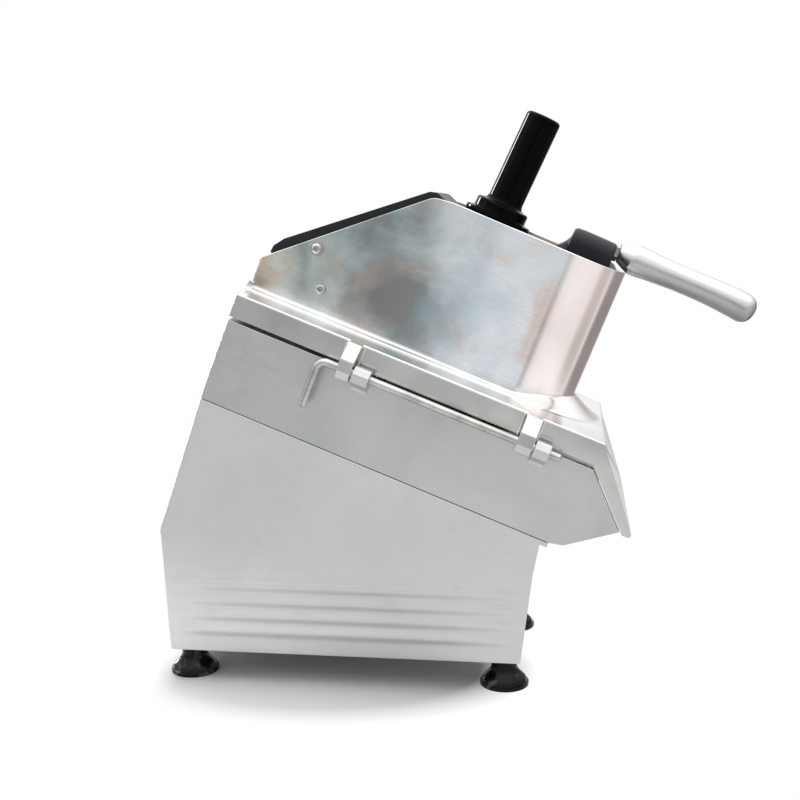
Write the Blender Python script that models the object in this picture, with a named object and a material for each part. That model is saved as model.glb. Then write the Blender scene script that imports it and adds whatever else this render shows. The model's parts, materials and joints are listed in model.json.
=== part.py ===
"""Electric vegetable dicer: a hollow base on four rubber feet carries a cutting chamber that slopes
forward. A hinged lid with a tall hopper closes the chamber, a pivoted lever presses the food down
through the hopper, and a small pusher slides through the lever. A motor in the base turns the disc
through a belt.

Frame: metres, +Z up, +X towards the discharge chute, -Y the hinge side, and z = 0 under the feet.
The head frame is tilted: its x (called u) runs down the slope of the seam, its z (called v) is normal
to the seam, and its y is the world's y.
"""

import math

import bmesh
import bpy
from mathutils import Matrix, Vector

# The slope of the head, and the rear end of the seam between the base and the chamber.
TILT = math.radians(22)
SEAM_X = -0.2491
SEAM_Z = 0.2988
GAP = 0.0003

# Base housing: half widths, and the outline seen from the side.
BASE_FLOOR_Z = 0.0285
BASE_HALF_FLOOR = 0.105
BASE_HALF_SEAM = 0.120
BASE_WALL = 0.004
BASE_CORNER = 0.003
REAR_FLOOR_X = -0.2974
REAR_KNEE = (-0.3001, 0.1600)
FRONT_FLOOR_X = 0.0680
FRONT_KNEE = (0.0804, 0.125)
FRONT_TOP_U = 0.3635
FRONT_LIP_U = 0.3716
FRONT_LIP_DROP = 0.0050
RIB_COUNT = 4
RIB_FIRST_Z = 0.0530
RIB_PITCH = 0.0165
RIB_HALF = 0.006
RIB_HEIGHT = 0.0012

# Feet.
FOOT_X = (-0.2774, 0.0511)
FOOT_Y = 0.085
FOOT_RADIUS = 0.025
FOOT_STEM = 0.013
FOOT_BOLT = 0.004
FOOT_BOLT_FIT = 0.0005

# Chamber, lid and hopper, in the head frame.
HEAD_HALF = 0.120
HEAD_CORNER = 0.0025
CHAMBER_TOP = 0.0845
CHAMBER_FLOOR = 0.008
CHAMBER_FRONT = 0.372
DISC_U = 0.255
DISC_RADIUS = 0.1025
POCKET_RADIUS = 0.110
LID_BOTTOM = 0.0885
LID_TOP = 0.112
LID_HALF = 0.121
LID_FRONT = 0.386
LID_SKIN = 0.006
HOPPER_HALF = 0.062
HOPPER_WALL = 0.005
HOPPER_REAR = -0.0055
HOPPER_NOSE_U = 0.2835
HOPPER_TOP = 0.2680
HOPPER_CORNER = 0.005
THROAT_REAR = 0.153

# Joint axes, in the head frame.
HINGE_Y = -0.135
HINGE_V = 0.085
ROD_RADIUS = 0.004
ROD_HOLE = 0.0045
LEVER_U = 0.0485
LEVER_V = 0.175
STOP_U = 0.066
STOP_V = 0.138
SCREW_RADIUS = 0.004
SCREW_HOLE = 0.0045
PUSHER_U = 0.2023
PUSHER_V = 0.2625
PUSHER_LEAN = math.radians(3.3)
FEED_BORE = 0.0280
HANDLE_V = 0.2795
HANDLE_STUD = 0.0047
HANDLE_BORE = 0.0052
MOTOR_U = 0.105
LATCH_U = 0.195
LATCH_Y = 0.134
LATCH_V = 0.049
LATCH_HOLE = 0.0033

# The two legs of each hinge knuckle along u: the lid's lug, then the chamber's.
LID_LUGS = ((0.1210, 0.1350), (0.3050, 0.3210))
BODY_LUGS = ((0.1365, 0.1535), (0.3225, 0.3380))

# Belt drive.
BELT_V = -0.056
BELT_HALF = 0.004
BIG_PULLEY = 0.075
SMALL_PULLEY = 0.0165
GROOVE = 0.0055
SHAFT_RADIUS = 0.010
SPINDLE_RADIUS = 0.008
MOTOR_SHAFT = 0.007
MOTOR_RADIUS = 0.050
MOTOR_TOP = -0.0773
MOTOR_END = -0.165

# Switch panel on the latch side of the base.
PANEL_X = -0.022
PANEL_Z = 0.115
PANEL_LEAN = math.radians(4.9)
PANEL_HALF_WIDTH = 0.036
PANEL_HALF_HEIGHT = 0.021
PANEL_CORNER = 0.005
PANEL_FIT = 0.0004
BUTTON_RADIUS = 0.009
BUTTON_FIT = 0.0005
BUTTON_SPACING = 0.032

# Cable gland on the rear wall of the base.
GLAND_Y = 0.050
GLAND_Z = 0.060
GLAND_HOLE = 0.0088

HEAD = Matrix.Translation((SEAM_X, 0, SEAM_Z)) @ Matrix.Rotation(TILT, 4, "Y")


def clear_scene():
    for obj in list(bpy.data.objects):
        bpy.data.objects.remove(obj, do_unlink=True)


def make_material(name, colour, roughness, metallic):
    material = bpy.data.materials.new(name)
    material.use_nodes = True
    shader = material.node_tree.nodes["Principled BSDF"]
    shader.inputs["Base Color"].default_value = (*colour, 1)
    shader.inputs["Roughness"].default_value = roughness
    shader.inputs["Metallic"].default_value = metallic
    return material


# ---- outlines: lists of 2D points ----


def arc(centre, radius, start, end, steps):
    """Points on an arc, angles in degrees, both ends included."""
    turns = [math.radians(start + (end - start) * i / steps) for i in range(steps + 1)]
    return [(centre[0] + radius * math.cos(t), centre[1] + radius * math.sin(t)) for t in turns]


def circle(radius, steps, centre=(0, 0)):
    return arc(centre, radius, 0, 360 - 360 / steps, steps - 1)


def rectangle(low_a, high_a, low_b, high_b):
    return [(low_a, low_b), (high_a, low_b), (high_a, high_b), (low_a, high_b)]


def rounded_rectangle(low_a, high_a, low_b, high_b, radius, steps=3):
    points = arc((high_a - radius, high_b - radius), radius, 0, 90, steps)
    points += arc((low_a + radius, high_b - radius), radius, 90, 180, steps)
    points += arc((low_a + radius, low_b + radius), radius, 180, 270, steps)
    points += arc((high_a - radius, low_b + radius), radius, 270, 360, steps)
    return points


def nose_outline(rear, centre, half, corner, steps=12):
    """A half circle in front, two straight sides and small rounded rear corners."""
    points = arc((centre, 0), half, -90, 90, steps)
    points += arc((rear + corner, half - corner), corner, 90, 180, 2)
    points += arc((rear + corner, corner - half), corner, 180, 270, 2)
    return points


def belt_outline(radius_far, radius_near, steps=26):
    """The loop round the motor pulley (near) and the disc's pulley (far), in the head's u, y plane."""
    reach = DISC_U - MOTOR_U
    leave = 180 - math.degrees(math.acos((radius_far - radius_near) / reach))
    far = arc((DISC_U, 0), radius_far, -leave, leave, steps)
    near = arc((MOTOR_U, 0), radius_near, leave, 360 - leave, steps // 2)
    return far + near


# ---- solids: bmesh builders ----


def loft(rings, looped=False):
    """A skin over rings of points; looped joins the last ring to the first, else both ends are capped."""
    bm = bmesh.new()
    loops = [[bm.verts.new(point) for point in ring] for ring in rings]
    pairs = list(zip(loops, loops[1:]))
    if looped:
        pairs.append((loops[-1], loops[0]))
    else:
        bm.faces.new(loops[0][::-1])
        bm.faces.new(loops[-1])
    for lower, upper in pairs:
        count = len(lower)
        for i in range(count):
            bm.faces.new((lower[i], lower[(i + 1) % count], upper[(i + 1) % count], upper[i]))
    bmesh.ops.recalc_face_normals(bm, faces=bm.faces)
    return bm


def side_prism(outline, half):
    """An outline in x, z, extruded along y from -half to half, or between the two values given."""
    low, high = half if isinstance(half, tuple) else (-half, half)
    return loft([[(a, y, b) for a, b in outline] for y in (low, high)])


def plan_prism(outline, low, high):
    """An outline in x, y, extruded along z."""
    return loft([[(a, b, z) for a, b in outline] for z in (low, high)])


def end_prism(outline, low, high):
    """An outline in y, z, extruded along x."""
    return loft([[(x, a, b) for a, b in outline] for x in (low, high)])


def box(low, high):
    return plan_prism(rectangle(low[0], high[0], low[1], high[1]), low[2], high[2])


def turned(profile, steps=24, bored=False):
    """A profile of radius, height points turned round z. A bored profile is a closed loop."""
    rings = [[(r * a, r * b, z) for a, b in circle(1, steps)] for r, z in profile]
    return loft(rings, looped=bored)


def tube(outer, inner, low, high, steps=24):
    return turned([(inner, low), (outer, low), (outer, high), (inner, high)], steps, bored=True)


def hex_nut(corner, bore, low, high):
    """A hexagon with a round bore: every second of its twelve outer points is a corner."""
    flat = corner * math.cos(math.radians(30))
    outer = []
    for i, (a, b) in enumerate(circle(1, 12)):
        reach = flat if i % 2 else corner
        outer.append((a * reach, b * reach))
    inner = circle(bore, 12)
    rings = [(inner, low), (outer, low), (outer, high), (inner, high)]
    return loft([[(a, b, z) for a, b in ring] for ring, z in rings], looped=True)


def swept(stations, steps):
    """Circles along a path in the x, z plane: each station is x, z, radius."""
    rings = []
    for i, (x, z, radius) in enumerate(stations):
        before = stations[max(i - 1, 0)]
        after = stations[min(i + 1, len(stations) - 1)]
        along = Vector((after[0] - before[0], 0, after[1] - before[1])).normalized()
        across = Vector((0, 1, 0))
        up = along.cross(across)
        spokes = [across * a + up * b for a, b in circle(radius, steps)]
        rings.append([Vector((x, 0, z)) + spoke for spoke in spokes])
    return loft(rings)


def moved(bm, matrix):
    bmesh.ops.transform(bm, matrix=matrix, verts=bm.verts)
    return bm


def shift(x=0.0, y=0.0, z=0.0):
    return Matrix.Translation((x, y, z))


def along_y(u, v):
    """Places a turned piece with its axis on +y through a point of the head's side."""
    return shift(u, 0, v) @ Matrix.Rotation(math.radians(-90), 4, "X")


def along_x(y, v):
    return shift(0, y, v) @ Matrix.Rotation(math.radians(90), 4, "Y")


def round_rear_corners(bm):
    """Rounds the two upright edges at the rear end of a casting of the head."""
    edges = []
    for edge in bm.edges:
        first, second = [vert.co for vert in edge.verts]
        if max(first.x, second.x) < 0.001 and abs(first.y - second.y) < 0.001:
            edges.append(edge)
    bmesh.ops.bevel(
        bm, geom=edges, offset=HEAD_CORNER, segments=4, profile=0.5, affect="EDGES", clamp_overlap=True
    )


def pusher_matrix():
    return shift(PUSHER_U, 0, PUSHER_V) @ Matrix.Rotation(PUSHER_LEAN, 4, "Y")


def feed_bore():
    """The hole for the feed tube, through the lever and the presser block."""
    return moved(turned([(FEED_BORE, -0.200), (FEED_BORE, 0.020)], 24), pusher_matrix())


def handle_bore(low, high):
    return moved(turned([(HANDLE_BORE, low), (HANDLE_BORE, high)], 12), along_x(0, HANDLE_V))


def rod_bore():
    """The hole for the hinge rod, through all the lugs of one casting."""
    return moved(turned([(ROD_HOLE, 0.10), (ROD_HOLE, 0.36)], 12), along_x(HINGE_Y, HINGE_V))


def latch_bore():
    return moved(turned([(LATCH_HOLE, 0.15), (LATCH_HOLE, 0.24)], 12), along_x(LATCH_Y, LATCH_V))


# ---- objects ----


def make_frame(name, matrix, parent=None, on_axis=True):
    """An empty that pieces hang from. On a joint's axis, it carries the pieces that the joint moves."""
    empty = bpy.data.objects.new(name, None)
    empty.empty_display_size = 0.02
    empty["on_axis"] = on_axis
    bpy.context.scene.collection.objects.link(empty)
    empty.parent = parent
    empty.matrix_basis = matrix
    return empty


def make_object(name, bm, material=None, frame=None):
    """Links a solid. It is drawn in the head frame or the world's, and gets its joint's origin here."""
    if frame and frame["on_axis"]:
        moved(bm, frame.matrix_basis.inverted())
    mesh = bpy.data.meshes.new(name)
    bm.to_mesh(mesh)
    bm.free()
    if material:
        mesh.materials.append(material)
    mesh.shade_smooth()
    mesh.set_sharp_from_angle(angle=math.radians(35))
    obj = bpy.data.objects.new(name, mesh)
    bpy.context.scene.collection.objects.link(obj)
    obj.parent = frame
    return obj


def combine(obj, bm, operation):
    """Adds or cuts a solid drawn in the same frame as the object."""
    tool = make_object(f"{obj.name}_tool_{len(obj.modifiers)}", bm, None, obj.parent)
    tool.hide_render = True
    tool.display_type = "WIRE"
    modifier = obj.modifiers.new(operation.lower(), "BOOLEAN")
    modifier.operation = operation
    modifier.object = tool
    modifier.solver = "EXACT"


def add(obj, bm):
    combine(obj, bm, "UNION")


def cut(obj, bm):
    combine(obj, bm, "DIFFERENCE")


# ---- base ----


def seam_z(x):
    return SEAM_Z - (x - SEAM_X) * math.tan(TILT)


def base_half(x, z):
    """The side leans out from the floor line to the seam line."""
    rise = (z - BASE_FLOOR_Z) / (seam_z(x) - BASE_FLOOR_Z)
    return BASE_HALF_FLOOR + (BASE_HALF_SEAM - BASE_HALF_FLOOR) * rise


def base_ring(rear, front, inset, bulge=0.0):
    """One section of the housing between a rear and a front point, each x, z."""
    low, high = rear[0] + inset, front[0] - inset
    radius = max(BASE_CORNER - inset, 0.004)
    points = []
    for x, side in rounded_rectangle(low, high, -1, 1, radius, 3):
        z = rear[1] + (front[1] - rear[1]) * (x - rear[0]) / (front[0] - rear[0])
        half = base_half(x, z) - inset
        straight = low + radius * 1.01 > x or x > high - radius * 1.01
        flat = half - radius + (abs(side) - 1 + radius) if straight else half + bulge
        points.append((x, math.copysign(flat, side), z))
    return points


def wall_points(z):
    """Rear and front points of the housing's level section at height z, up to the knee."""
    rise = z - BASE_FLOOR_Z
    rear = REAR_FLOOR_X + (REAR_KNEE[0] - REAR_FLOOR_X) * rise / (REAR_KNEE[1] - BASE_FLOOR_Z)
    front = FRONT_FLOOR_X + (FRONT_KNEE[0] - FRONT_FLOOR_X) * rise / (FRONT_KNEE[1] - BASE_FLOOR_Z)
    return (rear, z), (front, z)


def seam_points():
    front = HEAD @ Vector((FRONT_TOP_U, 0, -GAP))
    rear = HEAD @ Vector((0, 0, -GAP))
    return (rear.x, rear.z), (front.x, front.z)


def base_shell():
    outer = [base_ring(*wall_points(BASE_FLOOR_Z), 0)]
    for i in range(RIB_COUNT):
        centre = RIB_FIRST_Z + i * RIB_PITCH
        for offset, bulge in ((-1, 0), (-0.4, 1), (0.4, 1), (1, 0)):
            level = wall_points(centre + offset * RIB_HALF)
            outer.append(base_ring(*level, 0, bulge * RIB_HEIGHT))
    outer.append(base_ring(REAR_KNEE, FRONT_KNEE, 0))
    outer.append(base_ring(*seam_points(), 0))
    inner = [base_ring(*seam_points(), BASE_WALL)]
    inner.append(base_ring(REAR_KNEE, FRONT_KNEE, BASE_WALL))
    inner.append(base_ring(*wall_points(BASE_FLOOR_Z), BASE_WALL))
    return loft(outer + inner, looped=True)


def panel_matrix():
    half = base_half(PANEL_X, PANEL_Z)
    return shift(PANEL_X, half, PANEL_Z) @ Matrix.Rotation(-PANEL_LEAN - math.radians(90), 4, "X")


def panel_outline(grow=0.0):
    half_width, half_height = PANEL_HALF_WIDTH + grow, PANEL_HALF_HEIGHT + grow
    return rounded_rectangle(-half_width, half_width, -half_height, half_height, PANEL_CORNER)


def build_base(paint, steel):
    base = make_object("base_housing", base_shell(), paint)
    half = BASE_HALF_SEAM - 0.0005
    lip = box((FRONT_TOP_U - 0.0035, -half, -FRONT_LIP_DROP), (FRONT_LIP_U, half, -GAP))
    add(base, moved(lip, HEAD))
    for x in FOOT_X:
        for side in (-1, 1):
            # Corner boss that takes the foot's bolt, cast into the wall.
            ends_x = sorted((x - math.copysign(0.009, x), x + math.copysign(0.0165, x)))
            ends_y = sorted((side * 0.076, side * 0.1035))
            boss = plan_prism(rounded_rectangle(*ends_x, *ends_y, BASE_CORNER), 0.0325, 0.056)
            add(base, boss)
            hole = turned([(FOOT_BOLT + FOOT_BOLT_FIT, 0.030), (FOOT_BOLT + FOOT_BOLT_FIT, 0.053)], 12)
            cut(base, moved(hole, shift(x, side * FOOT_Y)))
    cut(base, moved(plan_prism(panel_outline(PANEL_FIT), -0.010, 0.010), panel_matrix()))
    gland_hole = turned([(GLAND_HOLE, -0.015), (GLAND_HOLE, 0.015)], 16)
    cut(base, moved(gland_hole, shift(REAR_FLOOR_X) @ along_x(GLAND_Y, GLAND_Z)))

    ring = base_ring(*wall_points(BASE_FLOOR_Z), BASE_WALL + 0.0006)
    plate = plan_prism([(x, y) for x, y, z in ring], BASE_FLOOR_Z + GAP, BASE_FLOOR_Z + 0.0033)
    plate = make_object("bottom_plate", plate, steel)
    for x in FOOT_X:
        for side in (-1, 1):
            hole = turned([(FOOT_BOLT + FOOT_BOLT_FIT, 0.02), (FOOT_BOLT + FOOT_BOLT_FIT, 0.04)], 12)
            cut(plate, moved(hole, shift(x, side * FOOT_Y)))
    for i in range(6):
        x = -0.215 + i * 0.018
        cut(plate, plan_prism(rectangle(x, x + 0.006, -0.040, 0.040), 0.02, 0.04))


def build_feet(rubber, steel):
    profile = [
        (0.0190, 0),
        (FOOT_RADIUS, 0),
        (FOOT_RADIUS, 0.0036),
        (0.0225, 0.0052),
        (0.0175, 0.0085),
        (FOOT_STEM + 0.0008, 0.0145),
        (FOOT_STEM, 0.0200),
        (FOOT_STEM, BASE_FLOOR_Z - GAP),
        (FOOT_BOLT + FOOT_BOLT_FIT, BASE_FLOOR_Z - GAP),
        (FOOT_BOLT + FOOT_BOLT_FIT, 0.0135),
        (0.0085, 0.0135),
        (0.0085, 0.0065),
        (0.0120, 0.0055),
    ]
    bolt = [
        (0.0055, 0.0075),
        (0.0072, 0.0085),
        (0.0072, 0.0130),
        (FOOT_BOLT, 0.0130),
        (FOOT_BOLT, 0.0500),
    ]
    for end, x in zip(("rear", "front"), FOOT_X):
        for side, y in (("hinge", -FOOT_Y), ("latch", FOOT_Y)):
            foot = moved(turned(profile, 18, bored=True), shift(x, y))
            make_object(f"foot_{end}_{side}_side", foot, rubber)
            make_object(f"foot_bolt_{end}_{side}_side", moved(turned(bolt, 10), shift(x, y)), steel)


# ---- chamber ----


def knuckle_outline():
    """Chamber lug seen along the hinge: a round boss on a sloping web from the side wall."""
    points = [(-0.1185, 0.0600), (-0.1185, 0.0843), (-0.1270, 0.0843)]
    points += arc((HINGE_Y, HINGE_V), 0.0095, 10, 240, 9)
    return points


def build_chamber(casting, head):
    outline = [
        (0, GAP),
        (CHAMBER_FRONT, GAP),
        (0.3855, 0.0034),
        (0.4295, 0.0370),
        (0.3830, CHAMBER_TOP),
        (0, CHAMBER_TOP),
    ]
    shell = side_prism(outline, HEAD_HALF)
    round_rear_corners(shell)
    chamber = make_object("chamber_body", shell, casting, head)
    for low, high in BODY_LUGS:
        add(chamber, end_prism(knuckle_outline(), low, high))
    ear = [(0.1185, 0.0385), (LATCH_Y, 0.0405)] + arc((LATCH_Y, LATCH_V), 0.0085, -60, 60, 4)
    ear += [(LATCH_Y, 0.0575), (0.1185, 0.0625)]
    for side in (-1, 1):
        middle = LATCH_U + side * 0.0145
        add(chamber, end_prism(ear, middle - 0.0035, middle + 0.0035))
    pocket = plan_prism(circle(POCKET_RADIUS, 40, (DISC_U, 0)), CHAMBER_FLOOR, 0.12)
    cut(chamber, pocket)
    cut(chamber, box((DISC_U + 0.010, -0.1125, CHAMBER_FLOOR), (0.46, 0.1125, 0.13)))
    cut(chamber, box((CHAMBER_FRONT - 0.006, -0.1123, -0.02), (0.47, 0.1123, 0.14)))
    cut(chamber, box((0.008, -0.106, -0.02), (0.137, 0.106, 0.077)))
    cut(chamber, plan_prism(circle(0.021, 24, (DISC_U, 0)), -0.02, 0.02))
    cut(chamber, rod_bore())
    cut(chamber, latch_bore())


def build_latch(steel, head, latch):
    pin = turned([(0.0045, 0.1745), (0.0045, 0.1765), (0.0029, 0.1765), (0.0029, 0.2150)], 12)
    make_object("latch_pin", moved(pin, along_x(LATCH_Y, LATCH_V)), steel, head)
    # The lever hangs from its pin; turned half a circle up, its tooth hooks over the lid's keeper.
    lever = [(LATCH_Y + a, LATCH_V + b) for a, b in latch_outline()]
    lever = make_object("latch_lever", end_prism(lever, LATCH_U - 0.0095, LATCH_U + 0.0095), steel, latch)
    cut(lever, latch_bore())


def latch_outline():
    points = arc((0, 0), 0.006, 0, 180, 6)
    points += [(-0.004, -0.020), (-0.004, -0.061), (-0.002, -0.067)]
    points += [(0.006, -0.067), (0.0105, -0.0625), (0.0105, -0.0555), (0.0025, -0.0555), (0.004, -0.045)]
    return points


# ---- drive ----


def build_bearings(casting, steel, rubber, head):
    centre = shift(DISC_U)
    housing = [
        (0.0188, -0.0001),
        (0.040, -0.0001),
        (0.040, -0.008),
        (0.027, -0.010),
        (0.027, -0.042),
        (0.0188, -0.042),
        (0.0188, -0.0295),
        (0.0150, -0.0295),
        (0.0150, -0.0140),
        (0.0188, -0.0140),
    ]
    make_object("bearing_housing", moved(turned(housing, 18, bored=True), centre), casting, head)
    inner = SHAFT_RADIUS + 0.0003
    upper = tube(0.0185, inner, -0.0135, -0.0020, 16)
    lower = tube(0.0185, inner, -0.0415, -0.0300, 16)
    make_object("upper_bearing", moved(upper, centre), steel, head)
    make_object("lower_bearing", moved(lower, centre), steel, head)
    make_object("shaft_seal", moved(tube(0.0206, inner, 0.0008, 0.0076, 18), centre), rubber, head)


def pulley_profile(radius, bore, hub):
    """A V pulley: rim with a groove, thin web where the rim is wide enough, and a hub."""
    low, high = BELT_V - 0.009, BELT_V + 0.009
    profile = [(bore, low), (hub, low)]
    if radius > 2 * hub:
        profile += [(hub, BELT_V - 0.003), (radius - 0.011, BELT_V - 0.003), (radius - 0.011, low)]
    profile += [
        (radius, low),
        (radius, BELT_V - 0.0060),
        (radius - GROOVE, BELT_V - 0.0048),
        (radius - GROOVE, BELT_V + 0.0048),
        (radius, BELT_V + 0.0060),
        (radius, high),
    ]
    if radius > 2 * hub:
        profile += [(radius - 0.011, high), (radius - 0.011, BELT_V + 0.003), (hub, BELT_V + 0.003)]
    profile += [(hub, high), (bore, high)]
    return profile


def build_disc_drive(steel, casting, knob_black, disc):
    centre = shift(DISC_U)
    shaft = [
        (SHAFT_RADIUS, -0.070),
        (SHAFT_RADIUS, 0.0130),
        (SPINDLE_RADIUS, 0.0130),
        (SPINDLE_RADIUS, 0.0880),
        (0.0065, 0.0890),
    ]
    make_object("drive_shaft", moved(turned(shaft, 20), centre), steel, disc)
    pulley = turned(pulley_profile(BIG_PULLEY, SHAFT_RADIUS + 0.0003, 0.018), 26, bored=True)
    make_object("drive_pulley", moved(pulley, centre), casting, disc)

    bore = SPINDLE_RADIUS + 0.0003
    ejector = [
        (bore, 0.0135),
        (0.020, 0.0135),
        (0.020, 0.0200),
        (0.1040, 0.0200),
        (0.1040, 0.0250),
        (0.020, 0.0250),
        (0.020, 0.0500),
        (bore, 0.0500),
    ]
    ejector = make_object("ejector_plate", moved(turned(ejector, 36, bored=True), centre), casting, disc)
    for i in range(3):
        vane = box((0.018, -0.002, 0.0230), (0.1020, 0.002, 0.0450))
        add(ejector, moved(vane, centre @ Matrix.Rotation(math.radians(120 * i), 4, "Z")))

    plate = [
        (bore, 0.0505),
        (0.016, 0.0505),
        (0.016, 0.0785),
        (DISC_RADIUS, 0.0785),
        (DISC_RADIUS, 0.0820),
        (bore, 0.0820),
    ]
    plate = make_object("cutting_disc", moved(turned(plate, 40, bored=True), centre), steel, disc)
    for i in range(3):
        spin = centre @ Matrix.Rotation(math.radians(120 * i + 30), 4, "Z")
        slot = plan_prism(rounded_rectangle(0.028, 0.094, -0.007, 0.002, 0.003), 0.07, 0.09)
        cut(plate, moved(slot, spin))
        profile = [(0.0005, 0.0823), (0.012, 0.0823), (0.012, 0.0840), (0.0035, 0.0840)]
        blade = end_prism(profile, 0.024, 0.097)
        make_object(f"disc_blade_{i + 1}", moved(blade, spin), steel, disc)

    knob = [
        (bore, 0.0823),
        (0.0165, 0.0823),
        (0.0175, 0.0840),
        (0.0175, 0.0905),
        (0.0145, 0.0935),
        (0.0030, 0.0935),
        (0.0030, 0.0900),
        (bore, 0.0895),
    ]
    make_object("disc_knob", moved(turned(knob, 20, bored=True), centre), knob_black, disc)


def build_motor(casting, steel, black, copper, rubber, head, motor):
    centre = shift(MOTOR_U)
    bracket = [
        (0.1145, -0.0002),
        (0.0780, -0.0002),
        (0.0780, -0.0720),
        (-0.0780, -0.0720),
        (-0.0780, -0.0002),
        (-0.1145, -0.0002),
        (-0.1145, -0.0050),
        (-0.0830, -0.0050),
        (-0.0830, -0.0770),
        (0.0830, -0.0770),
        (0.0830, -0.0050),
        (0.1145, -0.0050),
    ]
    bracket = make_object("motor_bracket", end_prism(bracket, 0.052, 0.160), steel, head)
    cut(bracket, plan_prism(circle(0.016, 20, (MOTOR_U, 0)), -0.09, -0.06))

    bore = MOTOR_SHAFT + 0.0006
    bell = [(bore, 0), (0.020, 0), (MOTOR_RADIUS + 0.002, 0), (MOTOR_RADIUS + 0.002, -0.008)]
    bell += [(MOTOR_RADIUS - 0.006, -0.008), (0.030, -0.012), (bore, -0.012)]
    upper = moved(turned(bell, 20, bored=True), centre @ shift(z=MOTOR_TOP))
    make_object("motor_upper_bell", upper, casting, head)
    lower = turned([(r, -z) for r, z in bell], 20, bored=True)
    make_object("motor_lower_bell", moved(lower, centre @ shift(z=MOTOR_END - 0.0083)), casting, head)

    fins = []
    for i in range(32):
        radius = MOTOR_RADIUS if i % 2 else MOTOR_RADIUS - 0.003
        fins += arc((MOTOR_U, 0), radius, i * 11.25, i * 11.25 + 6, 1)
    case = make_object("motor_case", plan_prism(fins, MOTOR_END, MOTOR_TOP - 0.0083), casting, head)
    cut(case, plan_prism(circle(0.0455, 28, (MOTOR_U, 0)), -0.2, 0))
    stator = tube(0.0450, 0.0315, -0.150, -0.0935, 28)
    make_object("motor_stator", moved(stator, centre), copper, head)
    rotor = [
        (MOTOR_SHAFT, -0.200),
        (MOTOR_SHAFT, -0.150),
        (0.0305, -0.148),
        (0.0305, -0.0955),
        (MOTOR_SHAFT, -0.0935),
        (MOTOR_SHAFT, -0.0460),
    ]
    make_object("motor_rotor", moved(turned(rotor, 20), centre), steel, motor)
    pulley = pulley_profile(SMALL_PULLEY, MOTOR_SHAFT + 0.0003, 0.010)
    make_object("motor_pulley", moved(turned(pulley, 20, bored=True), centre), casting, motor)

    hub = tube(0.012, MOTOR_SHAFT + 0.0003, -0.1980, -0.1800, 16)
    fan = make_object("cooling_fan", moved(hub, centre), black, motor)
    add(fan, moved(tube(0.0400, 0.0110, -0.1825, -0.1805, 24), centre))
    for i in range(6):
        vane = box((0.0110, -0.0012, -0.1960), (0.0400, 0.0012, -0.1815))
        add(fan, moved(vane, centre @ Matrix.Rotation(math.radians(60 * i + 7), 4, "Z")))

    cover = [
        (0.0465, MOTOR_END - 0.0090),
        (0.0500, MOTOR_END - 0.0090),
        (0.0500, -0.2060),
        (0.0440, -0.2120),
        (0.0120, -0.2120),
        (0.0120, -0.2085),
        (0.0420, -0.2085),
        (0.0465, -0.2040),
    ]
    make_object("fan_cover", moved(turned(cover, 20, bored=True), centre), black, head)

    far, near = BIG_PULLEY - GROOVE + 0.0007, SMALL_PULLEY - GROOVE + 0.0007
    thick = GROOVE - 0.0012
    outer = belt_outline(far + thick, near + thick)
    inner = belt_outline(far, near)
    low, high = BELT_V - BELT_HALF, BELT_V + BELT_HALF
    rings = [(inner, low), (outer, low), (outer, high), (inner, high)]
    belt = loft([[(a, b, z) for a, b in ring] for ring, z in rings], looped=True)
    make_object("drive_belt", belt, rubber, head)


# ---- electrics ----


def build_electrics(steel, plastic, grey, green, red, head, start, stop):
    make_object("control_box", box((-0.060, -0.080, 0.0322), (0.030, 0.010, 0.0750)), grey)
    can = [(0.0175, 0.0322), (0.0175, 0.0900), (0.0150, 0.0925), (0.0150, 0.0960)]
    make_object("run_capacitor", moved(turned(can, 20), shift(-0.110, -0.050)), plastic)
    make_object("lid_microswitch", box((0.060, -0.010, 0.0580), (0.084, 0.010, 0.0765)), plastic, head)

    gland = [
        (0.0036, -0.0048),
        (0.0070, -0.0048),
        (0.0090, -0.0038),
        (0.0090, -0.0020),
        (0.0115, -0.0020),
        (0.0115, -0.0004),
        (0.0083, -0.0004),
        (0.0083, 0.0100),
        (0.0036, 0.0100),
    ]
    place = shift(wall_points(GLAND_Z)[0][0]) @ along_x(GLAND_Y, GLAND_Z)
    make_object("cable_gland", moved(turned(gland, 14, bored=True), place), plastic)

    panel = moved(plan_prism(panel_outline(), -0.0035, 0.0018), panel_matrix())
    panel = make_object("switch_plate", panel, steel)
    block = box((-0.030, -0.017, -0.0350), (0.030, 0.017, -0.0215))
    make_object("switch_block", moved(block, panel_matrix()), plastic)
    for pivot, name, colour, side in ((start, "start_button", green, -1), (stop, "stop_button", red, 1)):
        place = panel_matrix() @ shift(side * BUTTON_SPACING / 2)
        hole = turned([(BUTTON_RADIUS + BUTTON_FIT, -0.01), (BUTTON_RADIUS + BUTTON_FIT, 0.01)], 20)
        cut(panel, moved(hole, place))
        button = [
            (0.0040, -0.0180),
            (0.0040, -0.0075),
            (0.0115, -0.0075),
            (0.0115, -0.0040),
            (BUTTON_RADIUS, -0.0040),
            (BUTTON_RADIUS, 0.0060),
            (BUTTON_RADIUS - 0.0015, 0.0075),
        ]
        make_object(name, moved(turned(button, 20), place), colour, pivot)


# ---- lid ----


def lid_lug_outline():
    """Lid lug seen along the hinge: down from the skirt's top edge, round under the rod."""
    points = [(-0.1195, 0.0890), (-0.1195, 0.1120), (-0.1300, 0.1117), (-0.1438, 0.0960)]
    points += arc((HINGE_Y, HINGE_V), 0.0100, 205, 320, 5)
    points += [(-0.1275, 0.0890)]
    return points


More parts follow.
